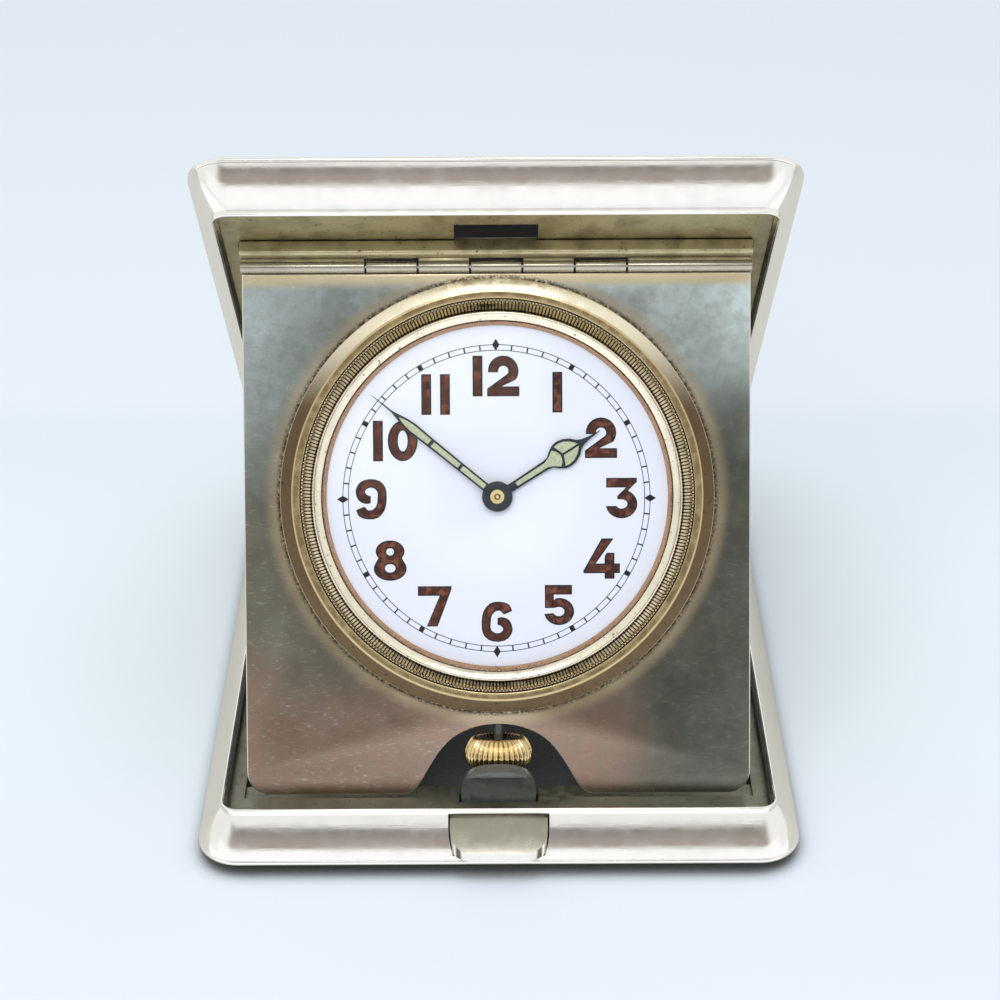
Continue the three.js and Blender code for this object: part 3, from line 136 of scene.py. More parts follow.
class ClockColours(bpy.types.PropertyGroup):
    """Colours of the clock that a user would change."""
    silver: FloatVectorProperty(
        name="Silver", description="Polished silver of the case",
        default=(0.99, 0.98, 0.955), subtype="COLOR", min=0, max=1)
    plate: FloatVectorProperty(
        name="Toned Plate", description="Toned silver of the dial plate",
        default=(0.50, 0.60, 0.62), subtype="COLOR", min=0, max=1)
    gilt: FloatVectorProperty(
        name="Dull Gilt", description="Dull gilding of the liners, the hinge bar and the drum",
        default=(0.66, 0.60, 0.38), subtype="COLOR", min=0, max=1)
    gold: FloatVectorProperty(
        name="Polished Gilt", description="Polished gilding of the crown",
        default=(0.95, 0.72, 0.38), subtype="COLOR", min=0, max=1)
    brass: FloatVectorProperty(
        name="Brass", description="Brass of the movement",
        default=(0.62, 0.47, 0.22), subtype="COLOR", min=0, max=1)
    steel: FloatVectorProperty(
        name="Steel", description="Bright steel of pins, rivets and wheels",
        default=(0.55, 0.56, 0.58), subtype="COLOR", min=0, max=1)
    blued: FloatVectorProperty(
        name="Blued Steel", description="Dark steel of the hands",
        default=(0.012, 0.015, 0.018), subtype="COLOR", min=0, max=1)
    black: FloatVectorProperty(
        name="Blackened Steel", description="Blackened steel of the catch",
        default=(0.06, 0.064, 0.058), subtype="COLOR", min=0, max=1)
    enamel: FloatVectorProperty(
        name="Enamel", description="White of the dial",
        default=(0.82, 0.835, 0.93), subtype="COLOR", min=0, max=1)
    numeral: FloatVectorProperty(
        name="Numeral Paint", description="Burnt brown paint of the numerals",
        default=(0.085, 0.026, 0.015), subtype="COLOR", min=0, max=1)
    ink: FloatVectorProperty(
        name="Ink", description="Dark line of the track and round the numerals",
        default=(0.01, 0.009, 0.01), subtype="COLOR", min=0, max=1)
    lume: FloatVectorProperty(
        name="Lume", description="Pale green filling of the hands",
        default=(0.56, 0.60, 0.40), subtype="COLOR", min=0, max=1)
    velvet: FloatVectorProperty(
        name="Lining", description="Dark pile in the base",
        default=(0.018, 0.019, 0.024), subtype="COLOR", min=0, max=1)
    floor: FloatVectorProperty(
        name="Floor", description="Pale floor under the clock",
        default=(0.785, 0.825, 0.90), subtype="COLOR", min=0, max=1)


class ClockCamera(bpy.types.PropertyGroup):
    """Where the camera stands and what it looks at."""
    place: FloatVectorProperty(
        name="Place", description="Place of the camera",
        default=(0.18 * MM, -250.42 * MM, 180.95 * MM), subtype="TRANSLATION")
    target: FloatVectorProperty(
        name="Target", description="Point at the middle of the picture",
        default=(0.33 * MM, -17.4 * MM, 38.32 * MM), subtype="TRANSLATION")
    roll: FloatProperty(
        name="Roll", description="Turn of the camera about its line of sight",
        default=math.radians(-0.257), subtype="ANGLE")
    lens: FloatProperty(
        name="Lens", description="Focal length in millimetres on a 36 mm sensor", default=80.27)


# Shapes: outlines, lofts and turned forms
def arc(centre, radius, start, end, steps, squash=1.0):
    """Points of an arc from one angle to another in degrees; squash flattens it along Y."""
    points = []
    for i in range(steps + 1):
        angle = math.radians(start + (end - start) * i / steps)
        points.append((centre[0] + radius * math.cos(angle),
                       centre[1] + radius * squash * math.sin(angle)))
    return points


def bezier(a, b, c, d, steps):
    """Points of a cubic curve, its two ends included."""
    points = []
    for i in range(steps + 1):
        t = i / steps
        weights = ((1 - t) ** 3, 3 * t * (1 - t) ** 2, 3 * t * t * (1 - t), t ** 3)
        points.append(tuple(sum(w * p[k] for w, p in zip(weights, (a, b, c, d)))
                            for k in range(2)))
    return points


def scaled(points, factor=MM):
    """The same outline at another size, by default from millimetres."""
    return [(x * factor, y * factor) for x, y in points]


def rounded(half_x, half_y, radius, steps):
    """A rectangle about the origin with round corners."""
    points = []
    for corner, (sx, sy) in enumerate(((1, 1), (-1, 1), (-1, -1), (1, -1))):
        points += arc((sx * (half_x - radius), sy * (half_y - radius)), radius,
                      corner * 90, corner * 90 + 90, steps)
    return points


def mirrored(side):
    """A closed outline from the points of its right side, from the foot up."""
    return side + [(-x, y) for x, y in reversed(side) if x > 0]


def eased(points, radius, steps=3):
    """A closed outline whose corners are rounded, each no further than its sides allow."""
    made = []
    count = len(points)
    for i, point in enumerate(points):
        here = Vector(point)
        before = Vector(points[i - 1]) - here
        after = Vector(points[(i + 1) % count]) - here
        reach = min(radius, before.length * 0.45, after.length * 0.45)
        start = here + before.normalized() * reach
        end = here + after.normalized() * reach
        for step in range(steps + 1):
            t = step / steps
            place = start * (1 - t) ** 2 + here * 2 * t * (1 - t) + end * t * t
            made.append(tuple(place))
    return made


def placed(name, mesh, matrix, material, body, sharp=32):
    """Puts a finished mesh into the scene as a piece that rides on a body."""
    mesh.transform(matrix)
    mesh.validate()
    mesh.set_sharp_from_angle(angle=math.radians(sharp))
    mesh.materials.clear()
    mesh.materials.append(material)
    piece = bpy.data.objects.new(name, mesh)
    bpy.context.scene.collection.objects.link(piece)
    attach(piece, body)
    return piece


def mesh_of(name, vertices, faces):
    """A smooth-shaded mesh from its points and faces."""
    mesh = bpy.data.meshes.new(name)
    mesh.from_pydata([tuple(v) for v in vertices], [], faces)
    mesh.shade_smooth()
    mesh.update()
    return mesh


def turned(name, profile, sides, wave=None):
    """A ring turned about Z from a closed profile of radius and height. A wave moves each
    point outwards by what it returns for the angle and the point."""
    vertices = []
    count = len(profile)
    for side in range(sides):
        angle = 2 * math.pi * side / sides
        for i, (radius, height) in enumerate(profile):
            shift = wave(side, i) if wave else (0, 0)
            r = radius + shift[0]
            vertices.append((r * math.cos(angle), r * math.sin(angle), height + shift[1]))
    faces = []
    for side in range(sides):
        following = (side + 1) % sides
        for i in range(count):
            after = (i + 1) % count
            faces.append((side * count + i, following * count + i,
                          following * count + after, side * count + after))
    mesh = mesh_of(name, vertices, faces)
    return outward(mesh)


def outward(mesh):
    """Joins points that lie together and turns every face outwards."""
    edit = bmesh.new()
    edit.from_mesh(mesh)
    bmesh.ops.remove_doubles(edit, verts=edit.verts, dist=MM * 1e-4)
    bmesh.ops.recalc_face_normals(edit, faces=edit.faces)
    edit.to_mesh(mesh)
    edit.free()
    mesh.update()
    return mesh


def shifted(points, amount):
    """A closed outline moved sideways, away from the area on its left."""
    moved = []
    count = len(points)
    for i, point in enumerate(points):
        here = Vector(point)
        before = (here - Vector(points[i - 1])).normalized()
        after = (Vector(points[(i + 1) % count]) - here).normalized()
        away = Vector((before.y + after.y, -before.x - after.x)).normalized()
        reach = amount / max(away.dot(Vector((after.y, -after.x))), 0.6)
        moved.append(tuple(here + away * reach))
    return moved


def wound(points, turn):
    """A closed outline that runs to the left for a turn of 1 and to the right for -1."""
    area = sum(a[0] * b[1] - b[0] * a[1] for a, b in zip(points, points[1:] + points[:1]))
    return points if area * turn > 0 else points[::-1]


def flat(name, outlines, low, high, bevel, rounds=3):
    """A flat piece cut from closed outlines, the first outside and the others holes, with
    rounded edges."""
    levels = []
    for i in range(rounds + 1):
        angle = math.pi / 2 * i / rounds
        levels.append((bevel * (math.sin(angle) - 1), low + bevel * (1 - math.cos(angle))))
    levels += [(shift, low + high - height) for shift, height in reversed(levels)]
    vertices, faces = [], []
    ends = {0: [], len(levels) - 1: []}
    for i, outline in enumerate(outlines):
        loop = wound(outline, 1 if i == 0 else -1)
        count = len(loop)
        for level, (shift, height) in enumerate(levels):
            ring = shifted(loop, shift)
            start = len(vertices)
            vertices += [(x, y, height) for x, y in ring]
            if level:
                faces += [(start - count + k, start - count + (k + 1) % count,
                           start + (k + 1) % count, start + k) for k in range(count)]
            if level in ends:
                ends[level].append((start, ring))
    for fills in ends.values():
        order = [start + k for start, ring in fills for k in range(len(ring))]
        rings = [[Vector((x / MM, y / MM, 0)) for x, y in ring] for start, ring in fills]
        faces += [tuple(order[k] for k in triangle) for triangle in tessellate_polygon(rings)]
    mesh = outward(mesh_of(name, vertices, faces))
    for face in mesh.polygons:
        face.use_smooth = len(face.vertices) == 4
    return mesh


def joined(name, meshes):
    """One mesh of several."""
    edit = bmesh.new()
    for mesh in meshes:
        edit.from_mesh(mesh)
    result = bpy.data.meshes.new(name)
    edit.to_mesh(result)
    edit.free()
    for mesh in meshes:
        bpy.data.meshes.remove(mesh)
    return result


def as_shown(item):
    """The mesh of an item with its modifiers worked out."""
    bpy.context.view_layer.update()
    graph = bpy.context.evaluated_depsgraph_get()
    return bpy.data.meshes.new_from_object(item.evaluated_get(graph))


def cut(mesh, cutter):
    """Cuts one mesh away from another and returns the new mesh."""
    target = bpy.data.objects.new("target", mesh)
    tool = bpy.data.objects.new("tool", cutter)
    for item in (target, tool):
        bpy.context.scene.collection.objects.link(item)
    modifier = target.modifiers.new("cut", "BOOLEAN")
    modifier.operation = "DIFFERENCE"
    modifier.solver = "EXACT"
    modifier.object = tool
    result = as_shown(target)
    for item in (target, tool):
        bpy.data.objects.remove(item)
    bpy.data.meshes.remove(mesh)
    bpy.data.meshes.remove(cutter)
    return result


def block(name, low, high):
    """A block between two corners."""
    corners = [(x, y, z) for x in (low[0], high[0]) for y in (low[1], high[1])
               for z in (low[2], high[2])]
    faces = [(0, 1, 3, 2), (4, 6, 7, 5), (0, 4, 5, 1), (2, 3, 7, 6), (0, 2, 6, 4), (1, 5, 7, 3)]
    return outward(mesh_of(name, corners, faces))


# The case's shell
SHELL_STEPS = 12
RIM_STEPS = 14
LEAST_CORNER = 0.7 * MM
MOUTH_INSET = 3.4 * MM
LIP_INSET = 3.0 * MM
NECK_HEIGHT = 0.8 * MM
LIP_ROUND = 0.2 * MM
WALL = 0.85 * MM
FLOOR = 1.0 * MM
BEAD_HEIGHT = 0.76 * MM
BEAD_INSET = 0.3 * MM
GROOVE_INSET = 0.26 * MM
RIM_START = (0.03 * MM, 0.86 * MM)
RIM_BASE_PULL = 1.7 * MM
RIM_BASE_LEAN = math.radians(20)
RIM_LIP_PULL = 1.75 * MM
RIM_LIP_ANGLE = math.radians(47.5)
SILL_INSET = 3.7 * MM
SILL_HEIGHT = 5.4 * MM
SWELL_REACH = 11 * MM
SWELL_STEPS = 9


def swell(inset, height):
    """Inset and height of the swelling underside, from its flat middle to the edge."""
    points = []
    for i in range(SWELL_STEPS):
        share = (1 - i / SWELL_STEPS) ** 1.5
        points.append((inset + SWELL_REACH * share, height - SWELL_HEIGHT * (1 - (1 - share) ** 2)))
    return points


def shell_profile():
    """Inset and height of the shell's wall, up the outside and down the inside."""
    turns = [math.radians(angle) for angle in range(0, 151, 15)]
    bead = [(BEAD_INSET * (1 - math.sin(a)), BEAD_HEIGHT / 2 * (1 - math.cos(a))) for a in turns]
    groove = [(GROOVE_INSET, BEAD_HEIGHT), (GROOVE_INSET, BEAD_HEIGHT + 0.04 * MM)]
    neck = SHELL_HEIGHT - NECK_HEIGHT
    rim = bezier(RIM_START, (RIM_START[0] + RIM_BASE_PULL * math.sin(RIM_BASE_LEAN),
                             RIM_START[1] + RIM_BASE_PULL * math.cos(RIM_BASE_LEAN)),
                 (LIP_INSET - RIM_LIP_PULL * math.cos(RIM_LIP_ANGLE),
                  neck - RIM_LIP_PULL * math.sin(RIM_LIP_ANGLE)), (LIP_INSET, neck), RIM_STEPS)
    half = (MOUTH_INSET - LIP_INSET) / 2
    fold = [(LIP_INSET + half * (1 - math.cos(math.radians(a))),
             SHELL_HEIGHT - LIP_ROUND + LIP_ROUND * math.sin(math.radians(a)))
            for a in range(0, 181, 20)]
    inside = [(SILL_INSET, SILL_HEIGHT + 0.04 * MM), (LIP_INSET, SILL_HEIGHT)]
    inside += [(x + WALL, y) for x, y in reversed(rim) if x + WALL < LIP_INSET and y > FLOOR * 2]
    return (swell(BEAD_INSET, 0) + bead + groove + rim + fold + inside
            + list(reversed(swell(inside[-1][0] + WALL * 0.3, FLOOR))))


def shell_mesh(name, sizes):
    """One half of the case, lofted from its profile round the corners."""
    vertices = []
    profile = shell_profile()
    for inset, height in profile:
        radius = max(sizes.corner_radius - inset, LEAST_CORNER)
        ring = rounded(case_high.x - inset, case_high.y - inset, radius, SHELL_STEPS)
        vertices += [(x, y, height) for x, y in ring]
    count = 4 * (SHELL_STEPS + 1)
    faces = []
    for ring in range(len(profile) - 1):
        for i in range(count):
            a = ring * count + i
            b = ring * count + (i + 1) % count
            faces.append((a, b, b + count, a + count))
    faces.append(tuple(reversed(range(count))))
    last = (len(profile) - 1) * count
    faces.append(tuple(range(last, last + count)))
    return outward(mesh_of(name, vertices, faces))


# Procedural finishes
class Textures:
    """Helpers for the textures of a node tree, laid out by places or by directions."""

    def __init__(self, owner, coordinates):
        owner.use_nodes = True
        self.nodes = owner.node_tree.nodes
        self.links = owner.node_tree.links
        self.place = self.nodes.new("ShaderNodeTexCoord").outputs[coordinates]

    def stretched(self, scale, turn=(0, 0, 0)):
        """Places scaled along each axis, for marks that run one way."""
        node = self.nodes.new("ShaderNodeMapping")
        node.inputs["Rotation"].default_value = turn
        node.inputs["Scale"].default_value = scale
        self.links.new(self.place, node.inputs["Vector"])
        return node.outputs["Vector"]

    def noise(self, size, detail=4, roughness=0.55, place=None):
        """Noise whose marks are about as large as size."""
        node = self.nodes.new("ShaderNodeTexNoise")
        node.inputs["Scale"].default_value = 1 / size
        node.inputs["Detail"].default_value = detail
        node.inputs["Roughness"].default_value = roughness
        self.links.new(place or self.place, node.inputs["Vector"])
        return node.outputs["Fac"]

    def spread(self, value, low, high, to_low=0.0, to_high=1.0):
        """Maps a value from one range to another, and stops at its ends."""
        node = self.nodes.new("ShaderNodeMapRange")
        node.interpolation_type = "SMOOTHSTEP"
        for name, number in (("From Min", low), ("From Max", high), ("To Min", to_low),
                             ("To Max", to_high)):
            node.inputs[name].default_value = number
        self.links.new(value, node.inputs["Value"])
        return node.outputs["Result"]

    def along(self, direction, origin):
        """How far a place lies along a direction from an origin."""
        away = self.nodes.new("ShaderNodeVectorMath")
        away.operation = "SUBTRACT"
        away.inputs[1].default_value = origin
        self.links.new(self.place, away.inputs[0])
        dot = self.nodes.new("ShaderNodeVectorMath")
        dot.operation = "DOT_PRODUCT"
        dot.inputs[1].default_value = direction
        self.links.new(away.outputs[0], dot.inputs[0])
        return dot.outputs["Value"]

    def distance(self, centre):
        """How far a place lies from a centre."""
        node = self.nodes.new("ShaderNodeVectorMath")
        node.operation = "DISTANCE"
        node.inputs[1].default_value = centre
        self.links.new(self.place, node.inputs[0])
        return node.outputs["Value"]

    def crevice(self, reach):
        """One on open faces, less where something stands within reach."""
        node = self.nodes.new("ShaderNodeAmbientOcclusion")
        node.samples = 8
        node.inputs["Distance"].default_value = reach
        return node.outputs["AO"]

    def facing(self, direction):
        """One where the face looks in a direction."""
        dot = self.nodes.new("ShaderNodeVectorMath")
        dot.operation = "DOT_PRODUCT"
        dot.inputs[1].default_value = direction
        self.links.new(self.nodes.new("ShaderNodeTexCoord").outputs["Normal"], dot.inputs[0])
        return dot.outputs["Value"]

    def sum(self, kind, a, b):
        """One step of arithmetic on two values."""
        node = self.nodes.new("ShaderNodeMath")
        node.operation = kind
        for socket, value in zip(node.inputs, (a, b)):
            if isinstance(value, (int, float)):
                socket.default_value = value
            else:
                self.links.new(value, socket)
        return node.outputs[0]

    def blend(self, share, first, second):
        """Mixes two colours by a share."""
        node = self.nodes.new("ShaderNodeMix")
        node.data_type = "RGBA"
        node.clamp_factor = True
        self.links.new(share, node.inputs["Factor"])
        for socket, value in ((node.inputs[6], first), (node.inputs[7], second)):
            if isinstance(value, bpy.types.NodeSocket):
                self.links.new(value, socket)
            else:
                socket.default_value = (*value, 1)
        return node.outputs[2]

    def light_path(self, *kinds):
        """One for rays of the given kinds and zero for the others."""
        path = self.nodes.new("ShaderNodeLightPath")
        share = path.outputs[kinds[0]]
        for kind in kinds[1:]:
            share = self.sum("MAXIMUM", share, path.outputs[kind])
        return share

    def mixed(self, share, first, second):
        """Mixes two shaders by a share."""
        node = self.nodes.new("ShaderNodeMixShader")
        self.links.new(share, node.inputs["Fac"])
        self.links.new(first, node.inputs[1])
        self.links.new(second, node.inputs[2])
        return node.outputs["Shader"]


class Finish(Textures):
    """A material. Its places are those of the piece at rest."""

    def __init__(self, name):
        self.material = bpy.data.materials.new(name)
        super().__init__(self.material, "Object")
        self.shader = self.nodes["Principled BSDF"]

    def set(self, **values):
        for name, value in values.items():
            socket = name.replace("_", " ").title().replace("Ior", "IOR")
            self.shader.inputs[socket].default_value = value

    def colour(self, value):
        self.links.new(value, self.shader.inputs["Base Color"])

    def rough(self, value):
        self.links.new(value, self.shader.inputs["Roughness"])

    def bump(self, height, depth, strength=1.0):
        """Raises the surface by a height texture, and adds to the bumps made before."""
        node = self.nodes.new("ShaderNodeBump")
        node.inputs["Strength"].default_value = strength
        node.inputs["Distance"].default_value = depth
        self.links.new(height, node.inputs["Height"])
        made = self.shader.inputs["Normal"]
        if made.links:
            self.links.new(made.links[0].from_socket, node.inputs["Normal"])
        self.links.new(node.outputs["Normal"], made)


def shade(colour, factor):
    """A colour made darker or lighter by a factor."""
    return tuple(min(channel * factor, 1) for channel in colour)


# Colours of the dirt and the wear on the metals, and of the painted highlights and shade on them
TARNISH = (0.30, 0.26, 0.19)
# Painted shade: the dark line on the button's rounded front edge
BUTTON_EDGE_SHADE = (0.2, 0.17, 0.13)
# Grime and painted shade in the corners of the gilding
GRIME_AND_SHADE = (0.07, 0.055, 0.04)
# Painted highlights on the top and the outward edges of the bezel cone
LIT_TOP_GILT = (0.98, 0.90, 0.70)
EDGE_HIGHLIGHT_GILT = (0.95, 0.82, 0.58)
PLATE_OLIVE = (0.28, 0.29, 0.235)
PLATE_SLATE = (0.15, 0.17, 0.15)
PLATE_MAUVE = (0.40, 0.28, 0.215)
PLATE_CLOUD = (0.28, 0.27, 0.23)
PLATE_GOLDEN = (0.66, 0.57, 0.38)
PLATE_CRUST = (0.07, 0.055, 0.045)
PLATE_FLECK = (0.78, 0.82, 0.79)
# Painted highlight along the plate's bevelled edges
PLATE_EDGE_HIGHLIGHT = (0.95, 0.92, 0.84)
GLASS_TINT = (0.985, 1.0, 1.0, 1)


def silver_finish(name, colour, polish, dirt, front=None):
    """Worn silver: soft polish, fine scratches, brown tarnish in patches and in corners.
    A front colour is painted light where the piece faces forward: a painted highlight on the rounded edge,
    a painted dark line below it and a lit front face."""
    finish = Finish(name)
    finish.set(metallic=1.0)
    patches = finish.spread(finish.noise(7 * MM, 5), 0.5, 0.72, 0, dirt)
    base = finish.blend(patches, colour, shade(colour, 0.6))
    # Painted light, from top to front: a painted highlight, then a painted dark line, then a lit front face
    if front:
        ahead = finish.facing((0, -1, 0))
        base = finish.blend(finish.spread(ahead, 0.5, 0.6), base, front)
        base = finish.blend(finish.spread(ahead, 0.66, 0.76), base, BUTTON_EDGE_SHADE)
        base = finish.blend(finish.spread(ahead, 0.84, 0.92), base, shade(front, 0.88))
    corners = finish.spread(finish.crevice(0.6 * MM), 0.2, 0.6)
    finish.links.new(corners, finish.shader.inputs["Metallic"])
    finish.colour(finish.blend(corners, TARNISH, base))
    rub = finish.noise(2.4 * MM, 6)
    finish.rough(finish.spread(rub, 0.3, 0.75, polish, polish + 0.1))
    hair = finish.noise(0.35 * MM, 3, place=finish.stretched((0.08, 1, 1), (0, 0, 0.06)))
    finish.bump(finish.spread(hair, 0.5, 0.8), 0.004 * MM, 0.5)
    finish.bump(finish.noise(1.6 * MM, 3), 0.008 * MM, 0.5)
    return finish.material


def gilt_finish(name, colour, polish, dirt, ring=None, reach=0.4 * MM, grime_and_shade=(0.1, 0.6), painted_highlights=False):
    """Gilding that has dulled to olive and brown in patches, and darkened in corners by grime and painted
    shade. A ring of another colour has a centre, and an inner and an outer distance from it. A piece with
    painted highlights is painted bright above and along its edges, where light falls on it."""
    finish = Finish(name)
    finish.set(metallic=1.0)
    patches = finish.spread(finish.noise(3.2 * MM, 6), 0.42, 0.7, 0, dirt)
    base = finish.blend(patches, colour, (colour[0] * 0.45, colour[1] * 0.42, colour[2] * 0.4))
    specks = finish.spread(finish.noise(0.5 * MM, 4), 0.62, 0.72)
    base = finish.blend(specks, base, shade(colour, 0.3))
    # Painted highlights: bright towards the top of the dial, where the overhead light falls, and bright
    # where faces turn away from the dial's front
    if painted_highlights:
        above = finish.spread(finish.along(DIAL_UP, DIAL_CENTRE), 10 * MM, 22 * MM)
        base = finish.blend(above, base, LIT_TOP_GILT)
        edge = finish.spread(finish.facing(tuple(DIAL_OUT)), 0.88, 0.7)
        base = finish.blend(edge, base, EDGE_HIGHLIGHT_GILT)
    if ring:
        centre, inner, outer, tone = ring
        away = finish.distance(tuple(centre))
        share = finish.sum("MULTIPLY", finish.spread(away, inner - 0.06 * MM, inner + 0.06 * MM),
                           finish.spread(away, outer + 0.06 * MM, outer - 0.06 * MM))
        base = finish.blend(share, base, tone)
    # Grime and painted shade: darker where other parts stand within reach
    corners = finish.spread(finish.crevice(reach), *grime_and_shade)
    finish.colour(finish.blend(corners, GRIME_AND_SHADE, base))
    finish.rough(finish.spread(finish.noise(1.2 * MM, 5), 0.3, 0.75, polish, polish + 0.2))
    finish.bump(finish.noise(0.6 * MM, 4), 0.006 * MM, 0.6)
    return finish.material


def plate_finish(colours):
    """Toned silver: teal above, olive at half height, mauve low on the left, slate on the right, golden
    round the bezel, with a painted highlight along its bevelled edges."""
    finish = Finish("toned_silver")
    finish.set(metallic=1.0)
    drift = finish.spread(finish.noise(16 * MM, 1), 0.25, 0.75, -7 * MM, 7 * MM)
    up = finish.sum("ADD", finish.along(DIAL_UP, DIAL_CENTRE), drift)
    right = finish.sum("SUBTRACT", finish.along((1, 0, 0), DIAL_CENTRE), drift)
    middle = finish.blend(finish.spread(right, -20 * MM, 20 * MM), PLATE_OLIVE, PLATE_SLATE)
    low = finish.blend(finish.spread(right, 24 * MM, 4 * MM), PLATE_SLATE, PLATE_MAUVE)
    base = finish.blend(finish.spread(up, -10 * MM, -24 * MM), middle, low)
    teal = finish.blend(finish.spread(right, 8 * MM, 24 * MM),
                        colours.plate, shade(colours.plate, 1.5))
    base = finish.blend(finish.spread(up, 0, 20 * MM), base, teal)
    for size, share in ((5 * MM, 0.3), (1.1 * MM, 0.3)):
        cloud = finish.noise(size, 3)
        base = finish.blend(finish.spread(cloud, 0.35, 0.75, 0, share), base, PLATE_CLOUD)
    ring = finish.distance(tuple(DIAL_CENTRE))
    warm = finish.spread(ring, 29 * MM, 27.4 * MM, 0, 0.65)
    top = finish.spread(finish.along(DIAL_UP, DIAL_CENTRE), 25.2 * MM, 26.6 * MM)
    base = finish.blend(finish.sum("MAXIMUM", warm, top), base, PLATE_GOLDEN)
    dirt = finish.sum("MULTIPLY", finish.spread(ring, 27.4 * MM, 26.8 * MM),
                      finish.spread(finish.noise(0.3 * MM, 3), 0.3, 0.6))
    base = finish.blend(dirt, base, PLATE_CRUST)
    flecks = finish.noise(0.24 * MM, 3, place=finish.stretched((0.25, 1, 1), (0.5, 0.3, 0.6)))
    side = finish.spread(finish.along((1, 0, 0), DIAL_CENTRE), 12 * MM, -20 * MM, 0.12, 0.34)
    flecks = finish.sum("MULTIPLY", finish.spread(flecks, 0.56, 0.74), side)
    base = finish.blend(flecks, base, PLATE_FLECK)
    # Painted highlight where the bevelled edges turn away from the plate's face
    edge = finish.spread(finish.facing(tuple(DIAL_OUT)), 0.97, 0.85)
    finish.colour(finish.blend(edge, base, PLATE_EDGE_HIGHLIGHT))
    finish.rough(finish.spread(finish.noise(6 * MM, 2), 0.3, 0.75, 0.24, 0.32))
    for turn, share in ((0.5, 0.06), (-0.7, 0.04), (1.4, 0.05)):
        lines = finish.stretched((1, share, share), (0.5, turn, turn))
        hair = finish.noise(0.3 * MM, 2, place=lines)
        finish.bump(finish.spread(hair, 0.6, 0.72), 0.005 * MM, 0.3)
    return finish.material


def metal_finish(name, colour, polish, scratch):
    """Plain worked metal with turning marks."""
    finish = Finish(name)
    finish.set(metallic=1.0)
    finish.colour(finish.blend(finish.noise(1.5 * MM, 4), colour, shade(colour, 0.75)))
    finish.rough(finish.spread(finish.noise(0.8 * MM, 4), 0.3, 0.7, polish, polish + 0.15))
    finish.bump(finish.noise(0.3 * MM, 3), scratch, 0.5)
    return finish.material


def enamel_finish(colours):
    """Glossy white enamel with faint clouds."""
    finish = Finish("white_enamel")
    finish.set(roughness=0.16, ior=1.5)
    finish.colour(finish.blend(finish.noise(9 * MM, 3), colours.enamel, shade(colours.enamel, 0.97)))
    finish.bump(finish.noise(3 * MM, 2), 0.004 * MM, 0.4)
    return finish.material


def paint_finish(colours):
    """Burnt brown numeral paint, brushed on by hand with darker and redder strokes."""
    finish = Finish("numeral_paint")
    finish.set(roughness=0.35, specular_ior_level=0.15)
    strokes = finish.noise(0.55 * MM, 5)
    red = shade(colours.numeral, 2.3)
    base = finish.blend(finish.spread(strokes, 0.38, 0.6),
                        shade(colours.numeral, 0.35), colours.numeral)
    finish.colour(finish.blend(finish.spread(finish.noise(0.9 * MM, 3), 0.5, 0.68), base, red))
    finish.bump(strokes, 0.05 * MM, 0.7)
    return finish.material


def lume_finish(colours):
    """Grainy pale green filling of the hands."""
    finish = Finish("pale_lume")
    finish.set(roughness=0.6)
    grain = finish.noise(0.25 * MM, 4)
    finish.colour(finish.blend(finish.spread(grain, 0.35, 0.7),
                               shade(colours.lume, 0.72), colours.lume))
    finish.bump(grain, 0.04 * MM, 0.7)
    return finish.material


def dark_finish(name, colour, polish, gloss):
    """Dark steel or ink, mottled and softly polished."""
    finish = Finish(name)
    finish.set(metallic=0.0, ior=1.6, specular_ior_level=gloss)
    finish.colour(finish.blend(finish.noise(1.4 * MM, 5), colour, shade(colour, 2.2)))
    finish.rough(finish.spread(finish.noise(0.8 * MM, 5), 0.3, 0.75, polish, polish + 0.2))
    finish.bump(finish.noise(0.5 * MM, 4), 0.008 * MM, 0.5)
    return finish.material


def velvet_finish(colours):
    """Short dark pile with a soft sheen."""
    finish = Finish("dark_velvet")
    finish.set(roughness=0.95, sheen_weight=0.4, sheen_roughness=0.5)
    pile = finish.noise(0.3 * MM, 5)
    finish.colour(finish.blend(pile, colours.velvet, shade(colours.velvet, 2)))
    finish.bump(pile, 0.1 * MM, 0.8)
    return finish.material


def glass_finish():
    """Clear glass that lets light through without a dark shadow."""
    finish = Finish("clear_glass")
    finish.set(roughness=0.0, ior=1.16, transmission_weight=1.0)
    finish.shader.inputs["Base Color"].default_value = GLASS_TINT
    smear = finish.noise(6 * MM, 3)
    finish.rough(finish.spread(smear, 0.3, 0.8, 0.0, 0.02))
    clear = finish.nodes.new("ShaderNodeBsdfTransparent")
    shown = finish.mixed(finish.light_path("Is Shadow Ray", "Is Diffuse Ray"),
                         finish.shader.outputs["BSDF"], clear.outputs["BSDF"])
    finish.links.new(shown, finish.nodes["Material Output"].inputs["Surface"])
    return finish.material


FINISHES = {}


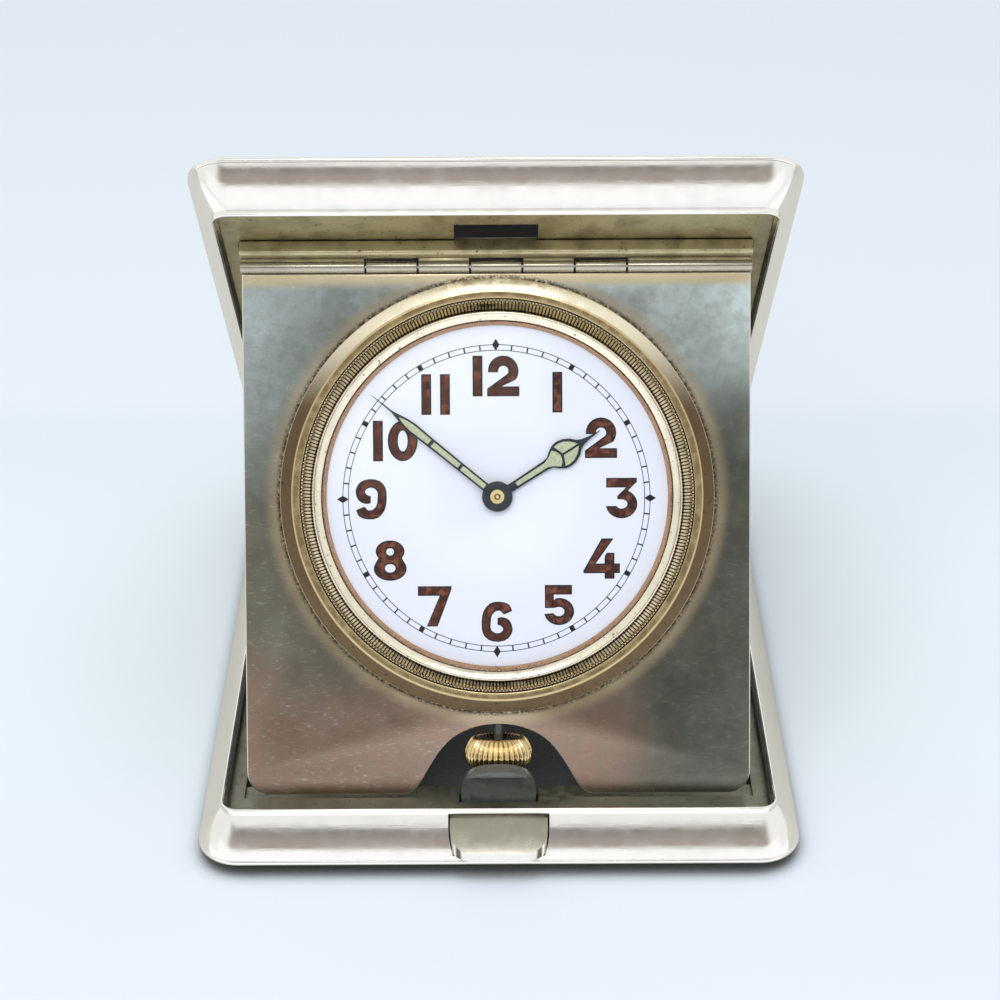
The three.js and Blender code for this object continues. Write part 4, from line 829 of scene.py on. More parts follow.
def finishes(context):
    """Makes the finishes once, from the colours set in the scene."""
    if not FINISHES:
        colours = context.scene.clock_colours
        bezel_line = (DIAL_CENTRE, 22.78 * MM, 23.0 * MM, (0.12, 0.07, 0.05))
        # A painted highlight ring on the crest of the bezel cone
        crest_highlight = (DIAL_CENTRE, 24 * MM, 25.3 * MM, (0.62, 0.50, 0.28))
        # Painted shade in the recess at the top of the crown
        crown_recess_shade = (CROWN_TOP, -MM, 2.75 * MM, (0.05, 0.035, 0.02))
        FINISHES.update(
            polished_silver=silver_finish("polished_silver", colours.silver, 0.1, 0.14),
            toned_silver=plate_finish(colours),
            worn_silver=silver_finish("worn_silver", (0.50, 0.47, 0.39), 0.22, 0.5),
            # The button's top is a darker silver and its front face is painted lit
            button_silver=silver_finish("button_silver", (0.46, 0.44, 0.37), 0.2, 0.4,
                                        front=colours.silver),
            gilt=gilt_finish("gilt", colours.gilt, 0.3, 0.5),
            # The liners take strong painted shade where other parts stand within 3 mm, the hinge bar
            # painted shade in its corners
            liner_gilt=gilt_finish("liner_gilt", shade(colours.gilt, 0.78), 0.3, 0.5,
                                   reach=3 * MM, grime_and_shade=(0.1, 0.95)),
            bar_gilt=gilt_finish("bar_gilt", shade(colours.gilt, 0.84), 0.3, 0.5,
                                 reach=0.5 * MM, grime_and_shade=(0.4, 0.85)),
            old_gilt=gilt_finish("old_gilt", (0.30, 0.31, 0.25), 0.35, 0.3),
            reeded_gilt=gilt_finish("reeded_gilt", (0.95, 0.88, 0.72), 0.14, 0.2,
                                    ring=bezel_line, grime_and_shade=(0.4, 0.78)),
            copper_gilt=gilt_finish("copper_gilt", (0.56, 0.33, 0.18), 0.2, 0.2),
            bright_gilt=gilt_finish("bright_gilt", colours.gold, 0.06, 0.2,
                                    ring=crown_recess_shade, grime_and_shade=(0.2, 0.8)),
            # Dark gilt whose darkness is painted shade for the dim room it reflects, lit above by painted
            # highlights
            bronzed_gilt=gilt_finish("bronzed_gilt", (0.15, 0.105, 0.06), 0.14, 0.2,
                                     ring=crest_highlight, painted_highlights=True),
            brass=metal_finish("brass", colours.brass, 0.3, 0.006 * MM),
            steel=metal_finish("steel", colours.steel, 0.25, 0.004 * MM),
            blued_steel=dark_finish("blued_steel", colours.blued, 0.25, 0.15),
            black_steel=dark_finish("black_steel", colours.black, 0.06, 0.7),
            white_enamel=enamel_finish(colours),
            clear_glass=glass_finish(),
            dark_velvet=velvet_finish(colours),
            numeral_paint=paint_finish(colours),
            ink=dark_finish("ink", colours.ink, 0.4, 0.1),
            lume=lume_finish(colours),
        )
    return FINISHES


def edged(item, width, segments, angle):
    """Rounds the edges of an item at which its faces turn by more than an angle in degrees."""
    item.modifiers.new("weld", "WELD").merge_threshold = MM * 1e-3
    plane = item.modifiers.new("plane", "DECIMATE")
    plane.decimate_type = "DISSOLVE"
    plane.angle_limit = math.radians(1)
    soft = item.modifiers.new("soft", "BEVEL")
    soft.width = width
    soft.segments = segments
    soft.limit_method = "ANGLE"
    soft.angle_limit = math.radians(angle)


def dress(node, material, bevel=0.0):
    """Gives a CAD node its finish and, where it shows, soft edges."""
    item = frame["nodes"][node]
    item.data.materials.clear()
    item.data.materials.append(material)
    if bevel:
        edged(item, bevel, 2, 35)


def softened(node, name, material, body, bevel):
    """A piece with the shape of a CAD node and finely rounded edges."""
    shape = frame["nodes"][node]
    copy = bpy.data.objects.new(name, shape.data.copy())
    copy.matrix_world = shape.matrix_world
    bpy.context.scene.collection.objects.link(copy)
    edged(copy, bevel, 4, 40)
    mesh = as_shown(copy)
    matrix = copy.matrix_world.copy()
    bpy.data.objects.remove(copy)
    mesh.shade_smooth()
    piece = placed(name, mesh, matrix, material, body, sharp=25)
    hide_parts(node)
    return piece


# Operators: one for each piece or group of like pieces
class CLOCK_OT_stage(bpy.types.Operator):
    """Set up the pale floor, the soft lamps, the surroundings and the camera"""
    bl_idname = "clock.stage"
    bl_label = "Stage"

    def execute(self, context):
        floor_and_backdrop(context)
        lamps(context)
        surroundings(context)
        camera(context)
        return {"FINISHED"}


# The floor's colour changes from one distance behind the clock's middle to another; the first tone is a
# painted lighter patch round the clock
FLOOR_REACH = 3.0
FLOOR_TONES_AND_LIGHT = (
    (-50 * MM, -8 * MM, (0.80, 0.875, 0.93)),
    (20 * MM, 66 * MM, (0.76, 0.82, 0.87)),
    (68 * MM, 80 * MM, (0.788, 0.843, 0.893)),
)
# Painted shade of the floor near the clock, seen only in metal
FLOOR_SHADE_IN_METAL = (0.61, 0.605, 0.55)
FLOOR_SHADOW = (0.13, 0.14, 0.135)


def floor_and_backdrop(context):
    """A wide pale floor with painted shadow close to the clock, a painted lighter patch round it, and
    painted reflection colours that only metal sees.
    """
    reach = FLOOR_REACH
    corners = [(-reach, -reach, 0), (reach, -reach, 0), (reach, reach, 0), (-reach, reach, 0)]
    floor = bpy.data.objects.new("floor", mesh_of("floor", corners, [(0, 1, 2, 3)]))
    finish = Finish("floor")
    finish.set(roughness=0.9, specular_ior_level=0.1)
    ahead = finish.along((0, 1, 0), (0, 0, 0))
    base = context.scene.clock_colours.floor
    for start, end, tone in FLOOR_TONES_AND_LIGHT:
        base = finish.blend(finish.spread(ahead, start, end), base, tone)
    # Painted reflection: metal sees the floor pure white from 46 mm in front of the clock onwards, and the
    # dimmer painted shade closer in and behind
    seen = finish.blend(finish.spread(ahead, -46 * MM, -42.5 * MM), (1.0, 1.0, 1.0), FLOOR_SHADE_IN_METAL)
    base = finish.blend(finish.light_path("Is Glossy Ray"), base, seen)
    close = finish.spread(finish.crevice(3.3 * MM), 0.35, 0.88)
    finish.colour(finish.blend(close, FLOOR_SHADOW, base))
    floor.data.materials.append(finish.material)
    context.scene.collection.objects.link(floor)


# Name, place, width, watts and whether metal shows it
LAMPS = (
    ("top_lamp", (0.0, -0.33, 0.62), 0.22, 0.6, True),
    ("front_lamp", (-0.2, -0.55, 0.62), 0.6, 2.0, False),
)
LAMP_TARGET = Vector((0, 0, 0.03))


def lamps(context):
    """A lamp overhead that shows in the metal, and a wide one in front that only lights."""
    for name, place, size, power, shown in LAMPS:
        light = bpy.data.lights.new(name, "AREA")
        light.size = size
        light.energy = power
        lamp = bpy.data.objects.new(name, light)
        lamp.location = place
        lamp.rotation_euler = (LAMP_TARGET - Vector(place)).to_track_quat("-Z", "Y").to_euler()
        lamp.visible_glossy = shown
        context.scene.collection.objects.link(lamp)


# Colours of the room that the metal sees
ROOM_SKY = (0.95, 0.975, 1.0, 1)
ROOM_WALL = (0.36, 0.31, 0.28)
ROOM_WALL_TOP = (0.24, 0.235, 0.215)
ROOM_CEILING = (0.86, 0.855, 0.825)
ROOM_CEILING_TOP = (0.62, 0.61, 0.58)
ROOM_BACKDROP = (0.80, 0.875, 0.95, 1)


def surroundings(context):
    """Soft light from above. Metal also sees a dim part of the room in front of the clock."""
    world = bpy.data.worlds.new("surroundings")
    context.scene.world = world
    room = Textures(world, "Generated")
    split = room.nodes.new("ShaderNodeSeparateXYZ")
    room.links.new(room.place, split.inputs[0])
    across, ahead, high = split.outputs

    def background(strength, colour):
        node = room.nodes.new("ShaderNodeBackground")
        for socket, value in ((node.inputs["Strength"], strength), (node.inputs["Color"], colour)):
            if isinstance(value, bpy.types.NodeSocket):
                room.links.new(value, socket)
            else:
                socket.default_value = value
        return node.outputs["Background"]

    sky = background(room.spread(high, 0.3, 0.55, 0.35, 0.95), ROOM_SKY)
    side = room.sum("ABSOLUTE", room.sum("DIVIDE", across, ahead), 0)
    dim = room.sum("MULTIPLY", room.spread(side, 0.9, 0.35), room.spread(ahead, 0, -0.1))
    dim = room.sum("MULTIPLY", dim, room.spread(high, 0.23, 0.30))
    dim = room.sum("MULTIPLY", dim, room.spread(high, 0.61, 0.54))
    wall = room.blend(room.spread(high, 0.38, 0.52), ROOM_WALL, ROOM_WALL_TOP)
    ceiling = room.blend(room.spread(high, 0.94, 0.98), ROOM_CEILING, ROOM_CEILING_TOP)
    low = room.sum("MULTIPLY", room.spread(high, 0.30, 0.23), room.spread(ahead, -0.3, -0.6))
    table = room.blend(low, ceiling, (1.0, 1.0, 1.0))
    metal = background(1.0, room.blend(dim, table, wall))
    backdrop = background(1.0, ROOM_BACKDROP)
    shown = room.mixed(room.light_path("Is Glossy Ray"), sky, metal)
    shown = room.mixed(room.light_path("Is Camera Ray", "Is Transmission Ray"), shown, backdrop)
    room.links.new(shown, room.nodes["World Output"].inputs["Surface"])


def camera(context):
    """The camera, aimed from its place at its target."""
    settings = context.scene.clock_camera
    lens = bpy.data.cameras.new("camera")
    lens.lens = settings.lens
    lens.sensor_width = 36
    lens.clip_start = MM
    item = bpy.data.objects.new("camera", lens)
    view = (Vector(settings.target) - Vector(settings.place)).to_track_quat("-Z", "Y")
    item.matrix_world = (Matrix.Translation(settings.place) @ view.to_matrix().to_4x4()
                         @ Matrix.Rotation(settings.roll, 4, "Z"))
    context.scene.collection.objects.link(item)
    context.scene.camera = item
    context.scene.view_settings.view_transform = "Standard"


class CLOCK_OT_case_shells(bpy.types.Operator):
    """Loft the two halves of the silver case, with the latch window in the lower one"""
    bl_idname = "clock.case_shells"
    bl_label = "Case Shells"

    def execute(self, context):
        sizes = context.scene.clock_sizes
        silver = finishes(context)["polished_silver"]
        lower = shell_mesh("lower_shell_fine", sizes)
        front = case_low.y
        half, back, foremost, corner = 6.15 * MM, front + 4.4 * MM, front - 1.4 * MM, 3.4 * MM
        plan = [(-half, back), (half, back)]
        plan += bezier((half, foremost + corner), (half, foremost + corner / 3),
                       (half - corner * 2 / 3, foremost), (half - corner, foremost), 10)
        plan += [(-x, y) for x, y in reversed(plan[2:])]
        sill, head = 1.35 * MM, 5.65 * MM
        lower = cut(lower, flat("window", [plan], sill, head, 0.01 * MM, 1))
        piece = placed("silver_base", lower, BASE, silver, "base")
        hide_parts("lower_shell")
        upper = shell_mesh("upper_shell_fine", sizes)
        piece = placed("silver_lid", upper, LID, silver, "lid")
        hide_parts("upper_shell")
        return {"FINISHED"}


class CLOCK_OT_lining(bpy.types.Operator):
    """Lay the dark pile lining on the base's floor"""
    bl_idname = "clock.lining"
    bl_label = "Base Lining"

    def execute(self, context):
        low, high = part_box("base_lining")
        outline = rounded(high.x, high.y, 3.2 * MM, 8)
        mesh = flat("lining", [outline], low.z, high.z, 0.15 * MM)
        velvet = finishes(context)["dark_velvet"]
        piece = placed("pile_lining", mesh, WORLD, velvet, "base")
        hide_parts("base_lining")
        return {"FINISHED"}


class CLOCK_OT_liners(bpy.types.Operator):
    """Finish the gilt sheet rails in both halves of the case"""
    bl_idname = "clock.liners"
    bl_label = "Gilt Liners"

    def execute(self, context):
        looks = finishes(context)
        dress("latch_rail", looks["old_gilt"], 0.09 * MM)
        dress("lid_liner", looks["liner_gilt"], 0.09 * MM)
        dress("plate_hinge_bar", looks["bar_gilt"], 0.09 * MM)
        return {"FINISHED"}


def across(place):
    """Lays a turned form along a line across the clock."""
    return Matrix.Translation(place) @ Matrix.Rotation(math.pi / 2, 4, "Y")


def barrels(name, spans, radius, bore, axis_place, ease):
    """Knuckles of a hinge, turned about a line across the clock."""
    made = []
    for start, end in spans:
        profile = eased([(bore, start), (radius, start), (radius, end), (bore, end)], ease)
        made.append(turned(name, profile, 40))
    mesh = joined(name, made)
    mesh.transform(across(axis_place))
    return mesh


def pin(name, half, radius, axis_place):
    """A round pin with eased ends across the clock."""
    profile = eased([(0, -half), (radius, -half), (radius, half), (0, half)], radius * 0.6)
    mesh = turned(name, profile, 24)
    mesh.transform(across(axis_place))
    return mesh


class CLOCK_OT_case_hinge(bpy.types.Operator):
    """Turn the knuckles and the pin of the rear hinge"""
    bl_idname = "clock.case_hinge"
    bl_label = "Case Hinge"

    def execute(self, context):
        looks = finishes(context)
        low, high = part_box("case_hinge_pin")
        half = high.x
        step = 2 * half / 5
        gap, radius, bore, ease = 0.13 * MM, 1.32 * MM, 0.6 * MM, 0.12 * MM
        spans = [(-half + i * step + gap, -half + (i + 1) * step - gap) for i in range(5)]
        for name, first, body, node in (("rear_knuckles_lower", 0, "base", "case_hinge_lower_leaf"),
                                        ("rear_knuckles_upper", 1, "lid", "case_hinge_upper_leaf")):
            mesh = barrels(name, spans[first::2], radius, bore, HINGE, ease)
            placed(name, mesh, WORLD, looks["polished_silver"], body)
            dress(node, looks["polished_silver"], 0.06 * MM)
        mesh = pin("rear_pin", half, 0.5 * MM, HINGE)
        piece = placed("rear_pin", mesh, WORLD, looks["steel"], "base")
        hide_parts("case_hinge_pin")
        return {"FINISHED"}


class CLOCK_OT_plate_hinge(bpy.types.Operator):
    """Turn the knuckles and the pin that hang the plate from the lid"""
    bl_idname = "clock.plate_hinge"
    bl_label = "Plate Hinge"

    def execute(self, context):
        looks = finishes(context)
        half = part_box("plate_hinge_bar")[1].x
        knuckle = 6.4 * MM
        gap, radius, bore, ease = 0.12 * MM, 0.78 * MM, 0.3 * MM, 0.07 * MM
        edges = [-half] + [(i - 2.5) * knuckle for i in range(6)] + [half]
        spans = [(a + gap, b - gap) for a, b in zip(edges, edges[1:])]
        spans[0] = (-half, spans[0][1])
        spans[-1] = (spans[-1][0], half)
        for name, first, body in (("bar_knuckles", 0, "lid"), ("plate_knuckles", 1, "clock")):
            mesh = barrels(name, spans[first::2], radius, bore, PLATE_HINGE, ease)
            placed(name, mesh, WORLD, looks["worn_silver"], body)
        dress("plate_hinge_leaf", looks["worn_silver"], 0.05 * MM)
        mesh = pin("plate_pin", half, 0.22 * MM, PLATE_HINGE)
        piece = placed("plate_pin", mesh, WORLD, looks["steel"], "lid")
        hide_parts("plate_hinge_pin")
        return {"FINISHED"}


class CLOCK_OT_button(bpy.types.Operator):
    """Finish the push button and the parts that slide with it"""
    bl_idname = "clock.button"
    bl_label = "Push Button"

    def execute(self, context):
        looks = finishes(context)
        softened("push_button", "worn_button", looks["button_silver"], "latch",
                 0.25 * MM)
        dress("catch_rivet_left", looks["steel"], 0.05 * MM)
        dress("catch_rivet_right", looks["steel"], 0.05 * MM)
        dress("button_spring", looks["steel"], 0.03 * MM)
        return {"FINISHED"}


class CLOCK_OT_catch(bpy.types.Operator):
    """Cut the blackened catch with its domed top and its hook"""
    bl_idname = "clock.catch"
    bl_label = "Latch Catch"

    def execute(self, context):
        black = finishes(context)["black_steel"]
        softened("latch_catch", "domed_catch", black, "latch", 0.2 * MM)
        return {"FINISHED"}


PLATE_TOP = 27.3 * MM
PLATE_BOTTOM = -36.95 * MM
PLATE_HALF = 31.15 * MM
PLATE_CORNER = 2.8 * MM
PLATE_THICK = 0.8 * MM
CUTOUT_FOOT = 11.9 * MM
CUTOUT_TOP = -28.25 * MM


class CLOCK_OT_plate(bpy.types.Operator):
    """Cut the toned plate with its round hole and the bell-shaped opening for the crown"""
    bl_idname = "clock.plate"
    bl_label = "Dial Plate"

    def execute(self, context):
        looks = finishes(context)
        right = [(PLATE_HALF, PLATE_TOP)]
        right += arc((PLATE_HALF - PLATE_CORNER, PLATE_BOTTOM + PLATE_CORNER), PLATE_CORNER, 0, -90, 10)
        right += bezier((CUTOUT_FOOT, PLATE_BOTTOM), (CUTOUT_FOOT - 3.7 * MM, PLATE_BOTTOM),
                        (9 * MM, CUTOUT_TOP), (0, CUTOUT_TOP), 24)
        left = [(-x, y) for x, y in reversed(right[:-1])]
        hole = arc((0, 0), 22.2 * MM, 0, 354, 59)
        mesh = flat("plate", [right + left, hole], -PLATE_THICK / 2, PLATE_THICK / 2, 0.19 * MM)
        piece = placed("toned_plate", mesh, CLOCK, looks["toned_silver"], "clock")
        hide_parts("dial_plate")
        return {"FINISHED"}


REEDS = 350
REED_STEPS = 4
REED_CUT = 0.14 * MM
REED_DEPTH = 0.2 * MM


class CLOCK_OT_bezel(bpy.types.Operator):
    """Turn the conical bezel, the reeded ring that holds the glass and the ring inside it"""
    bl_idname = "clock.bezel"
    bl_label = "Bezel"

    def execute(self, context):
        looks = finishes(context)
        cone = eased(scaled([(24.3, 0.5), (26.7, 0.5), (26.7, 0.75), (25.05, 1.35), (24.25, 1.3),
                             (24.2, 0.6)]), 0.12 * MM)
        piece = placed("bezel_cone", turned("bezel_cone", cone, 180), CLOCK, looks["bronzed_gilt"],
                       "clock")
        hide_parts("bezel_seat")
        piece = placed("reeded_ring", reeded_ring(), CLOCK, looks["reeded_gilt"], "clock",
                       sharp=50)
        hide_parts("reeded_bezel")
        inner = eased(scaled([(20.96, 0.6), (21.5, 0.6), (21.5, 1.35), (21.42, 1.35)]), 0.04 * MM)
        piece = placed("dial_ring", turned("dial_ring", inner, 180), CLOCK, looks["copper_gilt"],
                       "clock")
        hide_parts("rehaut_ring")
        return {"FINISHED"}


def reeded_ring():
    """The reeds stand on the slope between the outer wall and the glass seat."""
    profile = scaled([(21.52, 0.75), (24.0, 0.75), (24.1, 0.8), (24.1, 1.0)])
    slope = [(24.05 * MM - i * 0.225 * MM, (1.1 + i * 0.17) * MM) for i in range(7)]
    seat = scaled([(22.62, 2.12), (22.55, 2.2), (22.45, 2.22), (22.3, 2.2), (21.57, 1.8), (21.52, 1.75)])
    first = len(profile)
    last = first + len(slope)

    def wave(side, i):
        if not first <= i < last:
            return (0, 0)
        ridge = (0.0, 0.55, 1.0, 0.55)[side % REED_STEPS]
        return (-REED_CUT * (1 - ridge), -REED_DEPTH * (1 - ridge))

    return turned("reeded_ring", profile + slope + seat, REEDS * REED_STEPS, wave)


GLASS_RADIUS = 21.45 * MM


class CLOCK_OT_crystal(bpy.types.Operator):
    """Grind the domed glass"""
    bl_idname = "clock.crystal"
    bl_label = "Crystal"

    def execute(self, context):
        steps = 16
        outer, inner = [], []
        for i in range(steps + 1):
            share = i / steps
            rise = 1 - share * share
            radius = share * GLASS_RADIUS
            outer.append((radius, (1.85 + 0.95 * rise) * MM))
            inner.append((radius, (1.5 + 0.75 * rise) * MM))
        mesh = turned("crystal_dome", inner + list(reversed(outer)), 96)
        glass = finishes(context)["clear_glass"]
        piece = placed("crystal_dome", mesh, CLOCK, glass, "clock")
        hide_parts("crystal")
        return {"FINISHED"}


DIAL_TOP = 0.5 * MM


class CLOCK_OT_dial(bpy.types.Operator):
    """Make the white dial and print the minute track on it"""
    bl_idname = "clock.dial"
    bl_label = "Dial"

    def execute(self, context):
        looks = finishes(context)
        sizes = context.scene.clock_sizes
        hole, back = 1.3 * MM, DIAL_TOP - 0.35 * MM
        disc = eased([(hole, back), (sizes.dial_radius, back), (sizes.dial_radius, DIAL_TOP),
                      (hole, DIAL_TOP)], 0.05 * MM)
        piece = placed("enamel_dial", turned("enamel_dial", disc, 144), CLOCK, looks["white_enamel"],
                       "clock")
        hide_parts("dial")
        placed("minute_track", minute_track(sizes), PRINTED, looks["ink"], "clock")
        return {"FINISHED"}


LINE = 0.09 * MM
PRINT = 0.012 * MM


def minute_track(sizes):
    """Two circles, a tick for each minute, a block for each five and a diamond each quarter."""
    outer = sizes.track_radius
    inner = outer - sizes.track_width
    made = []
    for radius in (outer, inner):
        made.append(turned("circle", [(radius - LINE / 2, DIAL_TOP), (radius + LINE / 2, DIAL_TOP),
                                      (radius + LINE / 2, DIAL_TOP + PRINT),
                                      (radius - LINE / 2, DIAL_TOP + PRINT)], 180))
    for minute in range(60):
        half = 0.09 * MM if minute % 5 else 0.3 * MM
        top = DIAL_TOP + PRINT * (1.2 if minute % 5 else 1.4)
        if minute % 15:
            shape = block("tick", (-half, inner, DIAL_TOP), (half, outer, top))
        else:
            tall, wide = 0.73 * MM, 0.45 * MM
            outline = [(0, outer - tall), (wide, outer), (0, outer + tall), (-wide, outer)]
            shape = flat("diamond", [outline], DIAL_TOP, top + PRINT, 0.001 * MM, 1)
        shape.transform(Matrix.Rotation(-math.radians(6 * minute), 4, "Z"))
        made.append(shape)
    return joined("minute_track", made)


# Numerals, drawn on a height of two and a half each way
def glyph_shapes():
    """Closed outlines of each figure in millimetres, the first outside and the others holes."""
    six = [(1.60, 2.02), (1.87, 1.34), (1.34, 1.10), (0.83, 0.90), (0.47, 1.31), (0.19, 1.39),
           (-0.19, 1.31), (-0.58, 0.92), (-0.73, 0.50), (-0.78, 0.0), (-0.82, -0.60),
           (-0.76, -0.92), (-0.58, -1.18), (-0.19, -1.40), (0.25, -1.42), (0.58, -1.23),
           (0.76, -0.92), (0.62, -0.64), (0.36, -0.44), (0.04, -0.38), (0.06, 0.48), (0.58, 0.59),
           (1.13, 0.45), (1.60, 0.09), (1.82, -0.40), (1.91, -0.90), (1.87, -1.25), (1.74, -1.56),
           (1.41, -2.04), (0.90, -2.34), (0.20, -2.49), (-0.50, -2.44), (-1.08, -2.22),
           (-1.52, -1.84), (-1.80, -1.34), (-1.90, -0.79), (-1.91, 0.0), (-1.85, 0.65),
           (-1.67, 1.31), (-1.35, 1.84), (-0.86, 2.28), (-0.30, 2.47), (0.30, 2.49), (0.91, 2.40),
           (1.28, 2.25)]
    two = ([(1.97, -2.49), (1.97, -1.28), (-0.2, -1.28)]
           + arc((0, 0.62), 1.87, -36, 180, 24)
           + [(-1.87, 0.45), (-0.62, 0.45)]
           + arc((0, 0.62), 0.63, 180, -36, 14)
           + [(-1.98, -1.55), (-1.98, -2.49)])
    three = ([(-1.88, 2.49), (1.9, 2.49), (1.9, 2.0), (0.62, 0.72)]
             + arc((0.02, -0.72), 1.93, 66, -172, 26, 0.92)
             + [(-0.78, -0.98)]
             + arc((0.02, -0.72), 0.72, -160, 90, 18, 0.8)
             + [(-0.5, -0.14), (-0.5, 0.28), (0.55, 1.3), (-1.88, 1.3)])
    four = [(0.0, 2.49), (1.47, 2.49), (-0.72, -0.6), (0.36, -0.6), (0.36, 0.25), (0.62, 0.72),
            (1.58, 0.72), (1.58, -0.6), (2.25, -0.6), (2.25, -1.8), (1.58, -1.8), (1.58, -2.49),
            (0.36, -2.49), (0.36, -1.8), (-2.25, -1.8), (-2.25, -1.45)]
    five = ([(-1.7, 2.49), (1.65, 2.49), (1.65, 1.3), (-0.6, 1.3), (-0.6, 0.62)]
            + arc((0.05, -0.8), 1.85, 100, -170, 26, 0.91)
            + [(-0.72, -1.0)]
            + arc((0.02, -0.8), 0.68, -160, 120, 18, 0.85)
            + [(-0.6, -0.36), (-1.7, -0.36)])
    seven = [(-2.09, 2.49), (2.09, 2.49), (2.02, 2.0), (0.32, -2.49), (-1.02, -2.49), (0.6, 1.3),
             (-2.09, 1.3)]
    waist = math.degrees(math.asin(0.8 / 1.35))
    belly = math.degrees(math.asin(0.72 / 1.49))
    eight = arc((0, 1.14), 1.78, -waist, 180 + waist, 26, 0.76) + arc((0, -1.0), 2.03, 180 - belly,
                                                                     360 + belly, 26, 0.735)
    return {
        "0": [arc((0, 0), 1.84, 0, 350, 35, 1.355), arc((0, 0), 0.6, 0, 350, 35, 2.15)],
        "1": [[(-0.61, -2.49), (0.61, -2.49), (0.61, 2.49), (-0.61, 2.49)]],
        "2": [two], "3": [three], "4": [four], "5": [five], "6": [six], "7": [seven],
        "8": [eight, arc((0, 1.08), 0.48, 0, 345, 23, 0.95), arc((0, -0.95), 0.66, 0, 345, 23, 0.8)],
        "9": [[(-x, -y) for x, y in six]],
    }


NUMERALS = (("12", (-2.25, 0.9)), ("1", (0,)), ("2", (0,)), ("3", (0,)), ("4", (0,)), ("5", (0,)),
            ("6", (0,)), ("7", (0,)), ("8", (0,)), ("9", (0,)), ("10", (-2.13, 0.91)),
            ("11", (-1.15, 1.15)))
NUMERAL_REACH = (15.05, 15.05, 14.85, 15.35, 14.9, 15.2, 15.2, 15.3, 15.15, 15.4, 14.3, 14.8)
FIGURE_HEIGHT = 4.98 * MM


class CLOCK_OT_numerals(bpy.types.Operator):
    """Paint the upright numerals, brown with a dark edge"""
    bl_idname = "clock.numerals"
    bl_label = "Numerals"

    def execute(self, context):
        looks = finishes(context)
        sizes = context.scene.clock_sizes
        shapes = glyph_shapes()
        scale = sizes.numeral_height / FIGURE_HEIGHT * MM
        edge = sizes.numeral_edge
        for name, material, low, high, inset in (
                ("numeral_edges", looks["ink"], 0, 0.02 * MM, 0),
                ("numeral_faces", looks["numeral_paint"], 0.005 * MM, 0.05 * MM, edge)):
            made = []
            for hour, ((figures, shifts), reach) in enumerate(zip(NUMERALS, NUMERAL_REACH)):
                angle = math.radians(30 * hour)
                place = Vector((reach * MM * math.sin(angle), reach * MM * math.cos(angle), DIAL_TOP))
                for figure, shift in zip(figures, shifts):
                    outlines = [scaled(loop, scale) for loop in shapes[figure]]
                    outlines = [shifted(wound(loop, -1 if i else 1), -inset)
                                for i, loop in enumerate(outlines)]
                    mesh = flat(name, outlines, low, high, 0.004 * MM, 1)
                    mesh.transform(Matrix.Translation(place + Vector((shift * scale, 0, 0))))
                    made.append(mesh)
            placed(name, joined(name, made), PRINTED, material, "clock")
        return {"FINISHED"}


class CLOCK_OT_hands(bpy.types.Operator):
    """Cut the two hands, fill them with lume and cap their middle"""
    bl_idname = "clock.hands"
    bl_label = "Hands"

    def execute(self, context):
        looks = finishes(context)
        sizes = context.scene.clock_sizes
        minute = sizes.minute_hand / (19.8 * MM)
        hour = sizes.hour_hand / (15.0 * MM)
        blade = mirrored(scaled(((0.52, 0), (0.54, 5.8), (0.58, 10.4), (0.66, 13.4), (0.52, 14.6),
                                 (0.26, 15.8), (0.11, 16.6), (0.06, 18.5), (0.03, 19.8)), minute))
        windows = [mirrored(scaled(side, minute)) for side in (
            ((0.30, 1.95), (0.31, 5.6)), ((0.31, 6.0), (0.34, 10.2)),
            ((0.35, 10.65), (0.42, 13.4), (0.30, 14.5), (0.04, 15.4)))]
        build_hand(context, "minute", blade, windows, 1.25 * MM, 309.15, "minute_arbor", "minute_hand")
        blade = mirrored(scaled(((0.52, 0), (0.52, 3), (0.60, 7.0), (0.72, 7.7), (1.25, 8.3),
                                 (1.66, 9.0), (1.76, 9.7), (1.62, 10.5), (1.20, 11.3), (0.62, 11.9),
                                 (0.34, 12.5), (0.16, 13.5), (0.03, 15.0)), hour))
        shaft = mirrored(scaled(((0.26, 2.8), (0.32, 7.1), (0.62, 7.85), (1.15, 8.6), (0.75, 9.0),
                                 (0.18, 9.25)), hour))
        lens = scaled(((0.14, 9.6), (0.75, 9.35), (1.38, 9.1), (1.44, 9.7), (1.30, 10.4),
                       (0.95, 11.0), (0.45, 11.55), (0.14, 11.75)), hour)
        lenses = [[(side * x, y) for x, y in lens] for side in (1, -1)]
        build_hand(context, "hour", blade, [shaft] + lenses, 0.85 * MM, 57.6, "hour_pipe", "hour_hand")
        cap = eased(scaled([(0, 1.4), (0.88, 1.4), (0.88, 1.78), (0.7, 1.8), (0.62, 1.72), (0.5, 1.72),
                            (0.42, 1.83), (0.2, 1.83), (0.16, 1.78), (0, 1.78)]), 0.03 * MM)
        placed("hand_cap", turned("hand_cap", cap, 48), CLOCK, looks["bronzed_gilt"],
               "minute_arbor")
        return {"FINISHED"}


def build_hand(context, name, blade, windows, low, turn, body, node):
    """One hand with its hub, and the lume in its windows."""
    looks = finishes(context)
    high = low + 0.2 * MM
    loops = [scaled(loop) for loop in [blade] + windows]
    matrix = CLOCK @ Matrix.Rotation(-math.radians(turn), 4, "Z")
    steel = flat(name, loops, low, high, 0.04 * MM)
    bore, reach = 0.75 * MM, 1.86 * MM
    hub = turned(name + "_hub", eased([(bore, low), (reach, low), (reach, high), (bore, high)],
                                      0.05 * MM), 48)
    piece = placed(name + "_blade", joined(name, [steel, hub]), matrix, looks["blued_steel"],
                   body)
    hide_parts(node)
    fills = [flat(name, [shifted(wound(loop, 1), 0.04 * MM)], low + 0.03 * MM, high - 0.03 * MM,
                  0.01 * MM) for loop in loops[1:]]
    placed(name + "_lume", joined(name, fills), matrix, looks["lume"], body)


